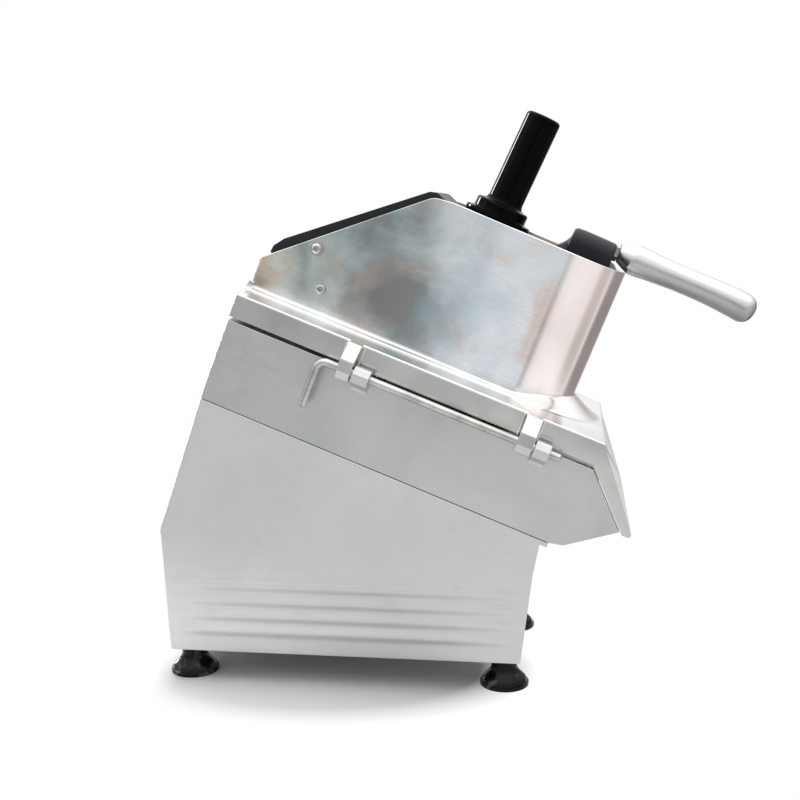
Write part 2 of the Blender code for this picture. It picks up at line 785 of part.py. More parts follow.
def hopper_fillet():
    """The raised ring where the hopper grows out of the lid: wide and high under the nose."""
    rings = []
    for spread, base in ((1, True), (0, False)):
        ring = []
        for a, b in nose_outline(HOPPER_REAR, HOPPER_NOSE_U, HOPPER_HALF, HOPPER_CORNER, 16):
            forward = max(0.0, (a - HOPPER_NOSE_U) / HOPPER_HALF)
            out = Vector((a - HOPPER_NOSE_U, b)).normalized() if a > HOPPER_NOSE_U else Vector((0, 1))
            out.y = math.copysign(out.y, b)
            reach = (0.010 + 0.0265 * forward) if base else -0.001
            height = LID_TOP - 0.0012 if base else LID_TOP + 0.003 + 0.0125 * forward
            ring.append((a + out.x * reach, b + out.y * reach, height))
        rings.append(ring)
    return loft(rings)


def build_lid(alloy, steel, black, lid):
    skirt = [
        (-0.0005, LID_BOTTOM),
        (LID_FRONT, LID_BOTTOM),
        (LID_FRONT, 0.1095),
        (0.350, LID_TOP),
        (0.004, LID_TOP),
        (-0.0005, 0.1080),
    ]
    shell = side_prism(skirt, LID_HALF)
    round_rear_corners(shell)
    casting = make_object("lid_casting", shell, alloy, lid)
    cavity = box((0.0065, -LID_HALF + LID_SKIN, 0.08), (0.3790, LID_HALF - LID_SKIN, 0.1065))
    cut(casting, cavity)
    hopper = nose_outline(HOPPER_REAR, HOPPER_NOSE_U, HOPPER_HALF, HOPPER_CORNER)
    add(casting, plan_prism(hopper, 0.1095, HOPPER_TOP + 0.002))
    add(casting, hopper_fillet())
    throat = nose_outline(THROAT_REAR - HOPPER_WALL, HOPPER_NOSE_U, HOPPER_HALF - 0.0001, 0.006)
    add(casting, plan_prism(throat, LID_BOTTOM, LID_TOP - 0.001))
    rear = [(0.0, 0.117), (0.005, 0.117), (0.005, -0.117), (0.0, -0.117)]
    rear += [(-0.0040, -0.088), (-0.0072, -0.064), (-0.0072, 0.064), (-0.0040, 0.088)]
    add(casting, plan_prism(rear, LID_BOTTOM, LID_TOP - 0.0005))
    ramp = [(-0.0071, 0.1100), (-0.0071, 0.1135), (-0.0053, 0.1180), (0.0005, 0.1180), (0.0005, 0.1100)]
    add(casting, side_prism(ramp, HOPPER_HALF + 0.002))
    hood = [(0.3760, LID_BOTTOM), (0.3760, 0.1085), (LID_FRONT + 0.0002, 0.1094)]
    hood += [(0.4436, 0.0354), (0.4325, 0.0349), (0.3808, LID_BOTTOM)]
    add(casting, side_prism(hood, LID_HALF - 0.0001))
    for low, high in LID_LUGS:
        add(casting, end_prism(lid_lug_outline(), low, high))
    keeper = [(0.1195, 0.0900), (0.1288, 0.0950), (0.1288, 0.1040), (0.1195, 0.1040)]
    add(casting, end_prism(keeper, LATCH_U - 0.010, LATCH_U + 0.010))

    inside = HOPPER_HALF - HOPPER_WALL
    bay = nose_outline(HOPPER_REAR + HOPPER_WALL, HOPPER_NOSE_U, inside, 0.004)
    cut(casting, plan_prism(bay, LID_TOP + 0.001, 0.30))
    mouth = nose_outline(THROAT_REAR, HOPPER_NOSE_U, inside - 0.0002, 0.004)
    cut(casting, plan_prism(mouth, 0.07, 0.20))
    above = [
        (-0.030, 0.1230),
        (0.1380, 0.2637),
        (0.1420, 0.2660),
        (0.1620, 0.2668),
        (0.400, 0.2617),
        (0.400, 0.350),
        (-0.030, 0.350),
    ]
    cut(casting, side_prism(above, 0.1))
    cut(casting, rod_bore())
    for u, v in ((LEVER_U, LEVER_V), (STOP_U, STOP_V)):
        hole = turned([(SCREW_HOLE, -0.08), (SCREW_HOLE, 0.08)], 12)
        cut(casting, moved(hole, along_y(u, v)))

    outside = HOPPER_HALF + GAP
    bolt = [
        (0.0035, -outside - 0.0070),
        (0.0060, -outside - 0.0050),
        (0.0065, -outside - 0.0015),
        (0.0088, -outside - 0.0015),
        (0.0088, -outside),
        (SCREW_RADIUS, -outside),
        (SCREW_RADIUS, outside + 0.0085),
    ]
    make_object("pivot_bolt", moved(turned(bolt, 16), along_y(LEVER_U, LEVER_V)), steel, lid)
    nut = hex_nut(0.0078, SCREW_HOLE, outside, outside + 0.0065)
    make_object("pivot_nut", moved(nut, along_y(LEVER_U, LEVER_V)), steel, lid)
    bolt = [
        (0.0045, -outside - 0.0030),
        (0.0066, -outside - 0.0012),
        (0.0066, -outside),
        (SCREW_RADIUS, -outside),
        (SCREW_RADIUS, outside + 0.0070),
    ]
    make_object("stop_bolt", moved(turned(bolt, 16), along_y(STOP_U, STOP_V)), steel, lid)
    nut = hex_nut(0.0072, SCREW_HOLE, outside, outside + 0.0055)
    make_object("stop_nut", moved(nut, along_y(STOP_U, STOP_V)), steel, lid)
    magnet = turned([(0.008, 0.0985), (0.008, 0.1062)], 16)
    make_object("lid_magnet", moved(magnet, shift(0.072)), black, lid)


def build_hinge_rod(steel, rod):
    """A straight rod with one end bent down, seen from the hinge side."""
    bend_radius, leg = 0.0090, 0.0400
    centre = (LID_LUGS[0][0] - 0.0110, HINGE_V - bend_radius)
    bend = arc(centre, bend_radius, 180, 90, 6)
    foot = (bend[0][0], bend[0][1] - leg)
    stations = [(u, v, ROD_RADIUS) for u, v in [foot] + bend]
    stations.append((0.3425, HINGE_V, ROD_RADIUS))
    stations.append((0.3500, HINGE_V, ROD_RADIUS * 0.7))
    make_object("hinge_rod", moved(swept(stations, 12), shift(y=HINGE_Y)), steel, rod)


# ---- lever, handle and pusher ----


def build_lever(black, plastic, steel, aluminium, lever):
    top = [
        (0.0025, 0.1535),
        (0.0035, 0.1605),
        (0.0115, 0.1710),
        (0.1335, 0.2685),
        (0.1410, 0.2700),
        (0.1660, 0.2600),
        (0.3262, 0.2600),
    ]
    bottom = [(0.3262, 0.2500), (0.1640, 0.2500), (0.1360, 0.2560), (0.0150, 0.1600), (0.0080, 0.1500)]
    plate = make_object("lever_plate", side_prism(top + bottom, 0.0552), black, lever)
    combine(plate, plan_prism(nose_outline(-0.0300, 0.2706, 0.0552, 0.006), 0.10, 0.30), "INTERSECT")
    boss = [(0.2530, 0.2550), (0.2530, 0.2600)]
    boss += arc((0.2570, 0.2840), 0.0230, 280, 345, 4)
    boss += [(0.2835, 0.2872), (0.3245, 0.2868), (0.3264, 0.2850), (0.3264, 0.2550)]
    add(plate, side_prism(boss, 0.021))
    for side in (-1, 1):
        ear = arc((LEVER_U, LEVER_V), 0.0110, 180, 360, 6)
        ear += [(LEVER_U + 0.020, 0.2080), (LEVER_U - 0.012, 0.1850)]
        ends = sorted((side * 0.0480, side * 0.0550))
        add(plate, side_prism(ear, tuple(ends)))
    hole = turned([(SCREW_HOLE, -0.07), (SCREW_HOLE, 0.07)], 12)
    cut(plate, moved(hole, along_y(LEVER_U, LEVER_V)))
    cut(plate, handle_bore(0.2980, 0.3400))
    cut(plate, feed_bore())

    block = nose_outline(0.1660, 0.2700, 0.0520, 0.006)
    block = make_object("presser_block", plan_prism(block, 0.0980, 0.2497), plastic, lever)
    hollow = nose_outline(0.1700, 0.2700, 0.0480, 0.004)
    cut(block, plan_prism(hollow, 0.1030, 0.30))
    cut(block, feed_bore())
    liner = tube(FEED_BORE - 0.0004, 0.0252, -0.1630, -0.0030, 24)
    make_object("feed_tube", moved(liner, pusher_matrix()), plastic, lever)

    stud = turned([(HANDLE_STUD, 0.2995), (HANDLE_STUD, 0.3560)], 12)
    make_object("handle_stud", moved(stud, along_x(0, HANDLE_V)), steel, lever)
    nut = hex_nut(0.0102, HANDLE_BORE, 0.3268, 0.3306)
    make_object("handle_nut", moved(nut, along_x(0, HANDLE_V)), steel, lever)
    stations = [
        (0.3309, HANDLE_V, 0.0088),
        (0.3325, HANDLE_V, 0.0096),
        (0.3450, 0.2789, 0.0145),
        (0.3475, 0.2787, 0.0157),
        (0.3520, 0.2785, 0.0158),
        (0.3760, 0.2780, 0.0146),
        (0.4030, 0.2776, 0.0138),
        (0.4340, 0.2768, 0.0143),
        (0.4590, 0.2752, 0.0152),
        (0.4700, 0.2741, 0.0149),
        (0.4768, 0.2732, 0.0130),
        (0.4802, 0.2727, 0.0090),
    ]
    grip = make_object("handle_grip", swept(stations, 16), aluminium, lever)
    cut(grip, handle_bore(0.3200, 0.3570))
    tab = [
        (0.3266, 0.2502),
        (0.3266, 0.2675),
        (0.3305, 0.2675),
        (0.3380, 0.2610),
        (0.3380, 0.2560),
        (0.3330, 0.2502),
    ]
    make_object("interlock_tab", side_prism(tab, 0.012), plastic, lever)


def build_pusher(black, plastic, pusher):
    grip = [
        (0.0330, 0.0000),
        (0.0353, 0.0012),
        (0.0353, 0.0077),
        (0.0290, 0.0089),
        (0.0280, 0.0099),
        (0.0280, 0.0185),
        (0.0262, 0.0205),
        (0.0215, 0.0215),
        (0.0190, 0.0240),
        (0.0182, 0.0275),
        (0.0182, 0.1125),
        (0.0170, 0.1153),
        (0.0142, 0.1165),
    ]
    make_object("pusher_grip", moved(turned(grip, 22), pusher_matrix()), black, pusher)
    piston = [(0.0235, -0.1625), (0.0243, -0.1615), (0.0243, -0.0004)]
    make_object("pusher_piston", moved(turned(piston, 24), pusher_matrix()), plastic, pusher)


def main():
    clear_scene()
    paint = make_material("base_casting_finish", (0.62, 0.62, 0.61), 0.42, 0.85)
    casting = make_material("cast_aluminium", (0.66, 0.67, 0.68), 0.35, 0.9)
    polished = make_material("polished_aluminium", (0.72, 0.72, 0.73), 0.2, 1.0)
    steel = make_material("steel", (0.62, 0.62, 0.62), 0.25, 1.0)
    rubber = make_material("rubber", (0.02, 0.02, 0.02), 0.45, 0.0)
    black = make_material("gloss_black", (0.012, 0.012, 0.013), 0.15, 0.0)
    matte = make_material("matte_black", (0.03, 0.03, 0.032), 0.5, 0.0)
    plastic = make_material("white_plastic", (0.75, 0.75, 0.72), 0.4, 0.0)
    grey = make_material("grey_plastic", (0.3, 0.3, 0.31), 0.5, 0.0)
    copper = make_material("winding_copper", (0.55, 0.25, 0.12), 0.4, 1.0)
    green = make_material("green_plastic", (0.03, 0.35, 0.08), 0.35, 0.0)
    red = make_material("red_plastic", (0.55, 0.03, 0.02), 0.35, 0.0)

    head = make_frame("head_frame", HEAD, on_axis=False)
    lid = make_frame("lid_axis", shift(0, HINGE_Y, HINGE_V), head)
    rod = make_frame("rod_axis", shift(0, HINGE_Y, HINGE_V), head)
    lever = make_frame("lever_axis", shift(LEVER_U, 0, LEVER_V), head)
    pusher = make_frame("pusher_axis", pusher_matrix(), head)
    disc = make_frame("disc_axis", shift(DISC_U), head)
    motor = make_frame("motor_axis", shift(MOTOR_U), head)
    latch = make_frame("latch_axis", shift(LATCH_U, LATCH_Y, LATCH_V), head)
    start = make_frame("start_axis", panel_matrix() @ shift(-BUTTON_SPACING / 2))
    stop = make_frame("stop_axis", panel_matrix() @ shift(BUTTON_SPACING / 2))

    build_base(paint, steel)
    build_feet(rubber, steel)
    build_chamber(casting, head)
    build_latch(steel, head, latch)
    build_bearings(casting, steel, rubber, head)
    build_disc_drive(steel, casting, matte, disc)
    build_motor(casting, steel, matte, copper, rubber, head, motor)
    build_electrics(steel, plastic, grey, green, red, head, start, stop)
    build_lid(polished, steel, matte, lid)
    build_hinge_rod(steel, rod)
    build_lever(matte, plastic, steel, casting, lever)
    build_pusher(black, plastic, pusher)


main()
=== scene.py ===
"""The looks of the electric vegetable dicer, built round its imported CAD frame.

Metres, +Z up. The head frame is the tilted frame of the chamber, the lid and the lever: its x (u) runs
down the slope of the seam, its z (v) stands on the seam, and its y is the world's.
"""

import json
from math import atan2, copysign, cos, degrees, pi, radians, sin, tan

import bmesh
import bpy
from mathutils import Euler, Matrix, Vector


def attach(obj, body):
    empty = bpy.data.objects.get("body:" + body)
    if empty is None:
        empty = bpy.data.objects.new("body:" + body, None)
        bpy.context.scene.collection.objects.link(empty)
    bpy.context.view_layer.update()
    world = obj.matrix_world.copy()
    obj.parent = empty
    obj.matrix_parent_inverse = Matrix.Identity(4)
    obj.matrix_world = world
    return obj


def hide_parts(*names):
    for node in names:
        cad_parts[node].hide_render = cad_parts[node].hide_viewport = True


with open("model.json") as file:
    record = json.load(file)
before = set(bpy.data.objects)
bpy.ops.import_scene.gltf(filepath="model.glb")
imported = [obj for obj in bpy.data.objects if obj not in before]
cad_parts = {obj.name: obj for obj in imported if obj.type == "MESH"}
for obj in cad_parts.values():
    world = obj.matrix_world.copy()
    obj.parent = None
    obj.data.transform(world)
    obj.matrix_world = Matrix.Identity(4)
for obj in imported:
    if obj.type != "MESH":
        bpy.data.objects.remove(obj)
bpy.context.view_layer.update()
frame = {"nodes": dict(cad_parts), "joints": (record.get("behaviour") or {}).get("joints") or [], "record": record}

# ---- driving dimensions, in the head frame unless they say world ----

HINGE = (0.2, -0.135, 0.085)
JOINTS = {joint["name"]: joint for joint in frame["joints"]}
SLOPE = Vector(JOINTS["lid_hinge"]["axis"])
TILT = atan2(-SLOPE.z, SLOPE.x)
TURN = Matrix.Rotation(TILT, 4, "Y")
HEAD = Matrix.Translation(JOINTS["lid_hinge"]["pos_m"]) @ TURN @ Matrix.Translation([-a for a in HINGE])
GAP = 0.0003  # between two pieces that touch on the real machine

HEAD_HALF = 0.12
CHAMBER_TOP = 0.0845
CHAMBER_FLOOR = 0.008
CHUTE_HALF = 0.1125
DISC_U = 0.255
DISC_RADIUS = 0.1025
DISC_BORE = 0.0083
POCKET_RADIUS = 0.11

LID_BOTTOM = 0.0885
LID_TOP = 0.112
LID_HALF = 0.121
HOPPER_HALF = 0.062
HOPPER_WALL = 0.005
HOPPER_REAR = -0.0055
HOPPER_CORNER = 0.005
NOSE_U = 0.2835
NOSE_STEPS = 64
THROAT_REAR = 0.153

LEVER = (0.0485, 0.175)
LEVER_HALF = 0.0552
STOP = (0.066, 0.138)
BOLT_HOLE = 0.0045
HANDLE_V = 0.2795
STUD_HOLE = 0.0052
PUSHER_U = 0.2023
PUSHER_V = 0.2625
PUSHER_LEAN = radians(3.3)
PUSHER_HOLE = 0.028
LATCH = (0.195, 0.134, 0.049)
LATCH_HOLE = 0.0033
LID_LUGS = ((0.121, 0.135), (0.305, 0.321))
BODY_LUGS = ((0.1365, 0.1535), (0.3225, 0.338))
ROD_RADIUS = 0.004
ROD_HOLE = 0.0045
ROD_END = 0.35

# World: the base housing, its feet and its switch panel.
FLOOR_Z = 0.0285
HALF_FLOOR = 0.105
HALF_SEAM = 0.12
BASE_WALL = 0.004
BASE_CORNER = 0.003
HEAD_CORNER = 0.0025
REAR_FLOOR = Vector((-0.2974, FLOOR_Z))
REAR_KNEE = Vector((-0.3001, 0.16))
FRONT_FLOOR = Vector((0.068, FLOOR_Z))
FRONT_KNEE = Vector((0.0804, 0.125))
KNEE_SHARE = 0.6  # of the way from the floor line to the seam
FRONT_TOP_U = 0.3635
FRONT_LIP_U = 0.3716
RIBS = [0.053 + 0.0165 * i for i in range(4)]
FOOT_X = (-0.2774, 0.0511)
FOOT_Y = 0.085
GLAND_Y = 0.05
GLAND_Z = 0.06
PANEL_X = -0.022
PANEL_Z = 0.115
PANEL_LEAN = radians(4.9)
BUTTON_SPACING = 0.032

SHARP_ANGLE = radians(35)
MERGE = 1e-6

# Kinds of Boolean step.
ADD, CUT, KEEP = "UNION", "DIFFERENCE", "INTERSECT"


# ---- materials ----


def fill(tree, node, sockets):
    """Gives each socket its value: a constant, or another node's output to link from. A socket goes by
    its number, or by its name, with underscores for spaces where it is a keyword."""
    for key, value in sockets.items():
        socket = node.inputs[key.replace("_", " ") if isinstance(key, str) else key]
        if isinstance(value, bpy.types.NodeSocket):
            tree.links.new(value, socket)
        else:
            socket.default_value = value
    return node


def added(tree, kind, **sockets):
    return fill(tree, tree.nodes.new(f"ShaderNode{kind}"), sockets)


def start(name, **sockets):
    """A new material, its node tree and its shader with the sockets that stay constant."""
    material = bpy.data.materials.new(name)
    material.use_nodes = True
    tree = material.node_tree
    return material, tree, fill(tree, tree.nodes["Principled BSDF"], sockets)


def head_point(tree):
    """The shaded point in the head frame, for a mesh that is stored in world metres."""
    place = added(tree, "TexCoord").outputs["Object"]
    back = HEAD.inverted()
    node = added(tree, "Mapping", Vector=place, Rotation=back.to_euler(), Location=back.translation)
    return node.outputs["Vector"]


def clouds(tree, scale, stretch=(1, 1, 1), turn=(0, 0, 0), detail=4.0, distortion=0.0, offset=(0, 0, 0)):
    """Noise in the head frame, stretched along its axes. The offset slides the pattern by its opposite."""
    slide = Euler(turn).to_matrix() @ Vector(offset)
    point = added(tree, "Mapping", Vector=head_point(tree), Scale=stretch, Rotation=turn, Location=slide)
    noise = added(
        tree, "TexNoise", Vector=point.outputs[0], Scale=scale, Detail=detail, Distortion=distortion
    )
    return noise.outputs["Fac"]


def ranged(tree, value, low, high, to_low=0.0, to_high=1.0):
    """A value mapped so that low gives to_low and high gives to_high, and held there beyond them."""
    node = added(tree, "MapRange", Value=value, From_Min=low, From_Max=high, To_Min=to_low, To_Max=to_high)
    return node.outputs["Result"]


def between(tree, axis, low, high):
    """0 below low and 1 above high, along an axis of the head frame."""
    parts = added(tree, "SeparateXYZ", Vector=head_point(tree))
    return ranged(tree, parts.outputs[axis], low, high)


def spread(tree, noise, low, high):
    """Noise, which stays near the middle, spread from low to high."""
    return ranged(tree, noise, 0.3, 0.7, low, high)


def tones(tree, value, stops):
    """A colour for each stretch of a value: stops are a position and a colour, or one number for a grey."""
    ramp = added(tree, "ValToRGB", Fac=value)
    while len(ramp.color_ramp.elements) < len(stops):
        ramp.color_ramp.elements.new(0.5)
    for element, (position, colour) in zip(ramp.color_ramp.elements, stops):
        element.position = position
        element.color = (*(colour if isinstance(colour, tuple) else (colour,) * 3), 1)
    return ramp.outputs["Color"]


def mixed(tree, first, second, amount=1.0, kind="MULTIPLY"):
    """The first colour with some of the second mixed in. The amount is a number or a node's output."""
    made = added(tree, "Mix")
    made.data_type = "RGBA"
    made.blend_type = kind
    return fill(tree, made, {"Factor": amount, 6: first, 7: second}).outputs[2]


def blended(tree, first, second, share):
    """Goes from the first colour to the second as the share goes from 0 to 1."""
    return mixed(tree, first, second, share, "MIX")


def finish(tree, shader, colour, roughness, layers):
    """Links a colour, a roughness and stacked bumps: each layer is a value, a strength and a height."""
    normal = {}
    for value, strength, height in layers:
        bump = added(tree, "Bump", Height=value, Strength=strength, Distance=height, **normal)
        normal = {"Normal": bump.outputs["Normal"]}
    fill(tree, shader, {"Base Color": colour, "Roughness": roughness, **normal})


def metal(name, dark, light, roughness, patch, grain, stretch, bump=0.12):
    """Bare metal: soft patches of tone, and a fine grain that roughens and dents it."""
    material, tree, shader = start(name, Metallic=0.95)
    patches = clouds(tree, patch, detail=5)
    fine = clouds(tree, grain, stretch, detail=3)
    colour = tones(tree, patches, [(0.35, dark), (0.65, light)])
    layers = [(patches, 0.1, 0.0006), (fine, bump, 0.00006)]
    finish(tree, shader, colour, spread(tree, fine, *roughness), layers)
    return material


def plastic(name, dark, light, roughness, grain=700, bump=0.15, coat=0.0, gloss=0.5):
    """Moulded plastic: a faint mottle and a fine moulded grain."""
    material, tree, shader = start(
        name, Metallic=0.0, Coat_Weight=coat, Coat_Roughness=0.04, Specular_IOR_Level=gloss
    )
    mottle = clouds(tree, 40, detail=4)
    fine = clouds(tree, grain, detail=2)
    colour = tones(tree, mottle, [(0.35, dark), (0.65, light)])
    finish(tree, shader, colour, spread(tree, mottle, *roughness), [(fine, bump, 0.00005)])
    return material


def base_paint():
    """Blasted casting: even light grey with faint clouds, unevenness and a few pits; painted light makes it paler
    low down.
    """
    material, tree, shader = start("base_paint", Metallic=0.85)
    broad = clouds(tree, 7, detail=3)
    patches = clouds(tree, 45, detail=6)
    fine = clouds(tree, 1400, detail=2)
    colour = tones(tree, broad, [(0.35, (0.555, 0.555, 0.56)), (0.65, (0.615, 0.615, 0.61))])
    colour = mixed(tree, colour, tones(tree, patches, [(0.25, 0.9), (0.45, 1.0)]), 0.6)
    # Painted light: the colour is made paler low down on the housing.
    painted_light_low = tones(tree, between(tree, "Z", -0.22, -0.13), [(0.0, 1.2), (1.0, 1.02)])
    colour = mixed(tree, colour, painted_light_low)
    layers = [(broad, 0.12, 0.002), (patches, 0.1, 0.0004), (fine, 0.16, 0.00004)]
    finish(tree, shader, colour, spread(tree, patches, 0.4, 0.52), layers)
    return material


def cast_aluminium():
    """Satin ground casting, slightly cold, with clouds and short grinding marks along the slope."""
    material, tree, shader = start("cast_aluminium", Metallic=0.92)
    broad = clouds(tree, 9, distortion=0.6, detail=4)
    grind = clouds(tree, 260, (0.25, 1, 1), detail=4)
    fine = clouds(tree, 1600, detail=2)
    cloudy = [(0.33, (0.47, 0.49, 0.495)), (0.5, (0.52, 0.53, 0.53)), (0.68, (0.57, 0.575, 0.58))]
    marks = tones(tree, grind, [(0.3, 0.96), (0.6, 1.0)])
    colour = mixed(tree, tones(tree, broad, cloudy), marks, 0.7)
    # Painted shade: the casting is darker towards the rear of the head.
    painted_shade = tones(tree, between(tree, "X", 0.0, 0.3), [(0.0, (0.9, 0.91, 0.9)), (1.0, 1.0)])
    colour = mixed(tree, colour, painted_shade)
    layers = [(broad, 0.1, 0.0012), (grind, 0.03, 0.00006), (fine, 0.08, 0.00003)]
    finish(tree, shader, colour, spread(tree, grind, 0.3, 0.42), layers)
    return material


def polished_aluminium():
    """Hand-polished casting. The hopper has cold and warm clouds under fine crossed scratches, which are
    fainter towards its nose; the lid below it is plainer, warmer and more satin. Painted reflection makes the
    hopper darker in its middle and paler towards its front, painted light makes its nose paler and
    pinkish, and a painted highlight makes the lid's top flange pale."""
    material, tree, shader = start("polished_aluminium", Metallic=1.0)
    slide = (0.0755, 0, 0.064)
    cold = clouds(tree, 11, distortion=0.3, detail=8, offset=slide)
    warm = clouds(tree, 15, turn=(0.4, 0.9, 0.2), distortion=0.4, detail=7, offset=slide)
    scratch = clouds(tree, 500, (0.1, 1, 1), (0, 0.6, 0), detail=5)
    cross = clouds(tree, 420, (1, 1, 0.1), (0, 0.35, 0), detail=4)
    # Painted reflection: the hopper's side is yellowish at the rear, darker in its middle and palest and coldest
    # at the front.
    along = [
        (0.0, (0.8, 0.81, 0.76)), (0.2, (0.78, 0.79, 0.74)), (0.34, (0.66, 0.69, 0.68)),
        (0.56, (0.7, 0.73, 0.73)), (0.78, (0.9, 0.93, 0.95)), (1.0, (0.96, 0.98, 1.0)),
    ]
    length = tones(tree, between(tree, "X", 0.0, 0.28), along)
    deep = [(0.37, (0.44, 0.51, 0.54)), (0.47, (0.72, 0.77, 0.79)), (0.58, 1.0)]
    faint = [(0.37, (0.78, 0.82, 0.85)), (0.56, 1.0)]
    blue = blended(tree, tones(tree, cold, deep), tones(tree, cold, faint), between(tree, "X", 0.165, 0.225))
    pink = tones(tree, warm, [(0.48, 1.0), (0.54, (0.97, 0.92, 0.88)), (0.63, (0.92, 0.72, 0.63))])
    marks = tones(tree, scratch, [(0.3, (0.88, 0.89, 0.9)), (0.58, 1.0)])
    hopper = mixed(tree, mixed(tree, mixed(tree, length, blue), pink, 0.85), marks, 0.6)
    # Painted light: the nose is made paler and warmer than the rest of the hopper.
    painted_light_nose = tones(tree, cold, [(0.36, (0.86, 0.83, 0.81)), (0.58, (0.97, 0.92, 0.9))])
    hopper = blended(tree, hopper, painted_light_nose, between(tree, "X", 0.279, 0.3))
    skirt = tones(tree, warm, [(0.38, (0.51, 0.51, 0.49)), (0.62, (0.6, 0.595, 0.57))])
    # Painted highlight: the lid's top flange, up to the foot of the hopper's fillet, is made much paler than the
    # skirt.
    flange = tones(tree, cold, [(0.36, (0.8, 0.805, 0.8)), (0.58, (0.96, 0.96, 0.95))])
    colour = blended(tree, skirt, flange, between(tree, "Z", 0.1095, 0.1105))
    colour = blended(tree, colour, hopper, between(tree, "Z", 0.1155, 0.1175))
    polish = [(warm, 0.06, 0.001), (cold, 0.05, 0.0006), (scratch, 0.1, 0.00006), (cross, 0.06, 0.00005)]
    finish(tree, shader, colour, spread(tree, cold, 0.13, 0.21), polish)
    return material


def turned_aluminium():
    """Satin turned handle with very faint soft rings round it; painted shade darkens its underside and painted
    light makes its top pale.
    """
    material, tree, shader = start("turned_aluminium", Metallic=0.95)
    patches = clouds(tree, 25, detail=4)
    rings = clouds(tree, 150, (1, 0.02, 0.02), detail=2)
    # Painted light and shade: dark under the handle, pale along its top.
    rise = [(0.0, (0.22, 0.215, 0.21)), (0.42, (0.46, 0.46, 0.455)), (0.75, (0.66, 0.67, 0.68))]
    colour = tones(tree, between(tree, "Z", 0.262, 0.29), rise)
    colour = mixed(tree, colour, tones(tree, patches, [(0.35, 0.93), (0.65, 1.0)]))
    finish(tree, shader, colour, spread(tree, rings, 0.25, 0.31), [(rings, 0.01, 0.00004)])
    return material


def matte_black():
    """Powder-coated casting, a little worn to grey where it is handled."""
    material, tree, shader = start("matte_black", Metallic=0.0, Specular_IOR_Level=0.35)
    worn = clouds(tree, 30, detail=6)
    pebble = clouds(tree, 900, detail=2)
    colour = tones(tree, worn, [(0.4, (0.005, 0.0065, 0.01)), (0.7, (0.011, 0.0135, 0.018))])
    finish(tree, shader, colour, spread(tree, worn, 0.36, 0.48), [(pebble, 0.35, 0.00006)])
    return material


def rubber_with_dust_and_sheen():
    """Black shiny rubber with pale patches, partly powdery dirt and partly a painted sheen in place of highlights.
    """
    material, tree, shader = start("rubber", Metallic=0.0, Specular_IOR_Level=0.16)
    dust_and_sheen = clouds(tree, 90, (1, 1, 0.5), detail=6, distortion=0.5)
    fine = clouds(tree, 600, detail=2)
    # The pale patches are partly dirt and partly painted sheen that stands in for highlights.
    black, dull, pale_dust_and_sheen = (0.002, 0.002, 0.0025), (0.006, 0.007, 0.008), (0.09, 0.1, 0.11)
    colour = tones(tree, dust_and_sheen, [(0.4, black), (0.56, dull), (0.7, pale_dust_and_sheen)])
    finish(tree, shader, colour, spread(tree, dust_and_sheen, 0.1, 0.3), [(dust_and_sheen, 0.15, 0.0004), (fine, 0.1, 0.00004)])
    return material


def make_materials():
    """Every material of the record's slots, by name."""
    steel_dark, steel_light = (0.38, 0.37, 0.36), (0.56, 0.55, 0.53)
    black, less_black = (0.001, 0.001, 0.0012), (0.002, 0.002, 0.0024)
    made = [
        base_paint(),
        cast_aluminium(),
        polished_aluminium(),
        matte_black(),
        turned_aluminium(),
        metal("steel", steel_dark, steel_light, (0.1, 0.2), 60, 800, (0.15, 1, 1), 0.03),
        metal("winding", (0.4, 0.17, 0.07), (0.62, 0.29, 0.13), (0.3, 0.45), 60, 400, (1, 1, 6)),
        rubber_with_dust_and_sheen(),
        plastic("gloss_black", black, less_black, (0.05, 0.08), 120, 0.01, gloss=0.05),
        plastic("white_plastic", (0.7, 0.7, 0.67), (0.8, 0.8, 0.78), (0.34, 0.44)),
        plastic("grey_plastic", (0.24, 0.24, 0.25), (0.33, 0.33, 0.34), (0.42, 0.52)),
        plastic("green_plastic", (0.015, 0.24, 0.05), (0.03, 0.33, 0.08), (0.22, 0.32), coat=0.3),
        plastic("red_plastic", (0.42, 0.015, 0.012), (0.56, 0.03, 0.02), (0.22, 0.32), coat=0.3),
    ]
    return {material.name.split(".")[0]: material for material in made}


MATERIALS = make_materials()


# ---- outlines: lists of 2D points ----


def arc(centre, radius, start_at, end_at, steps):
    """Points on an arc, angles in degrees, both ends included."""
    turns = [radians(start_at + (end_at - start_at) * i / steps) for i in range(steps + 1)]
    return [(centre[0] + radius * cos(t), centre[1] + radius * sin(t)) for t in turns]


def circle(radius, steps=64, centre=(0, 0)):
    return arc(centre, radius, 0, 360 - 360 / steps, steps - 1)


def rounded(corners, steps):
    """Corners a, b with a radius each, where an arc takes the place of a corner with a radius."""
    points = []
    for i, (a, b, radius) in enumerate(corners):
        here = Vector((a, b))
        if not radius:
            points.append((a, b))
            continue
        before = Vector(corners[i - 1][:2]) - here
        after = Vector(corners[(i + 1) % len(corners)][:2]) - here
        half = before.angle(after) / 2
        reach = min(radius / tan(half), 0.48 * before.length, 0.48 * after.length)
        fitted = reach * tan(half)
        middle = here + (before.normalized() + after.normalized()).normalized() * fitted / sin(half)
        first = here + before.normalized() * reach - middle
        last = here + after.normalized() * reach - middle
        start_at = atan2(first.y, first.x)
        sweep = (atan2(last.y, last.x) - start_at + pi) % (2 * pi) - pi
        points += arc(middle, fitted, degrees(start_at), degrees(start_at + sweep), steps)
    return points


def rounded_rectangle(low_a, high_a, low_b, high_b, radius):
    corners = [(low_a, low_b), (high_a, low_b), (high_a, high_b), (low_a, high_b)]
    return rounded([(a, b, radius) for a, b in corners], 6)


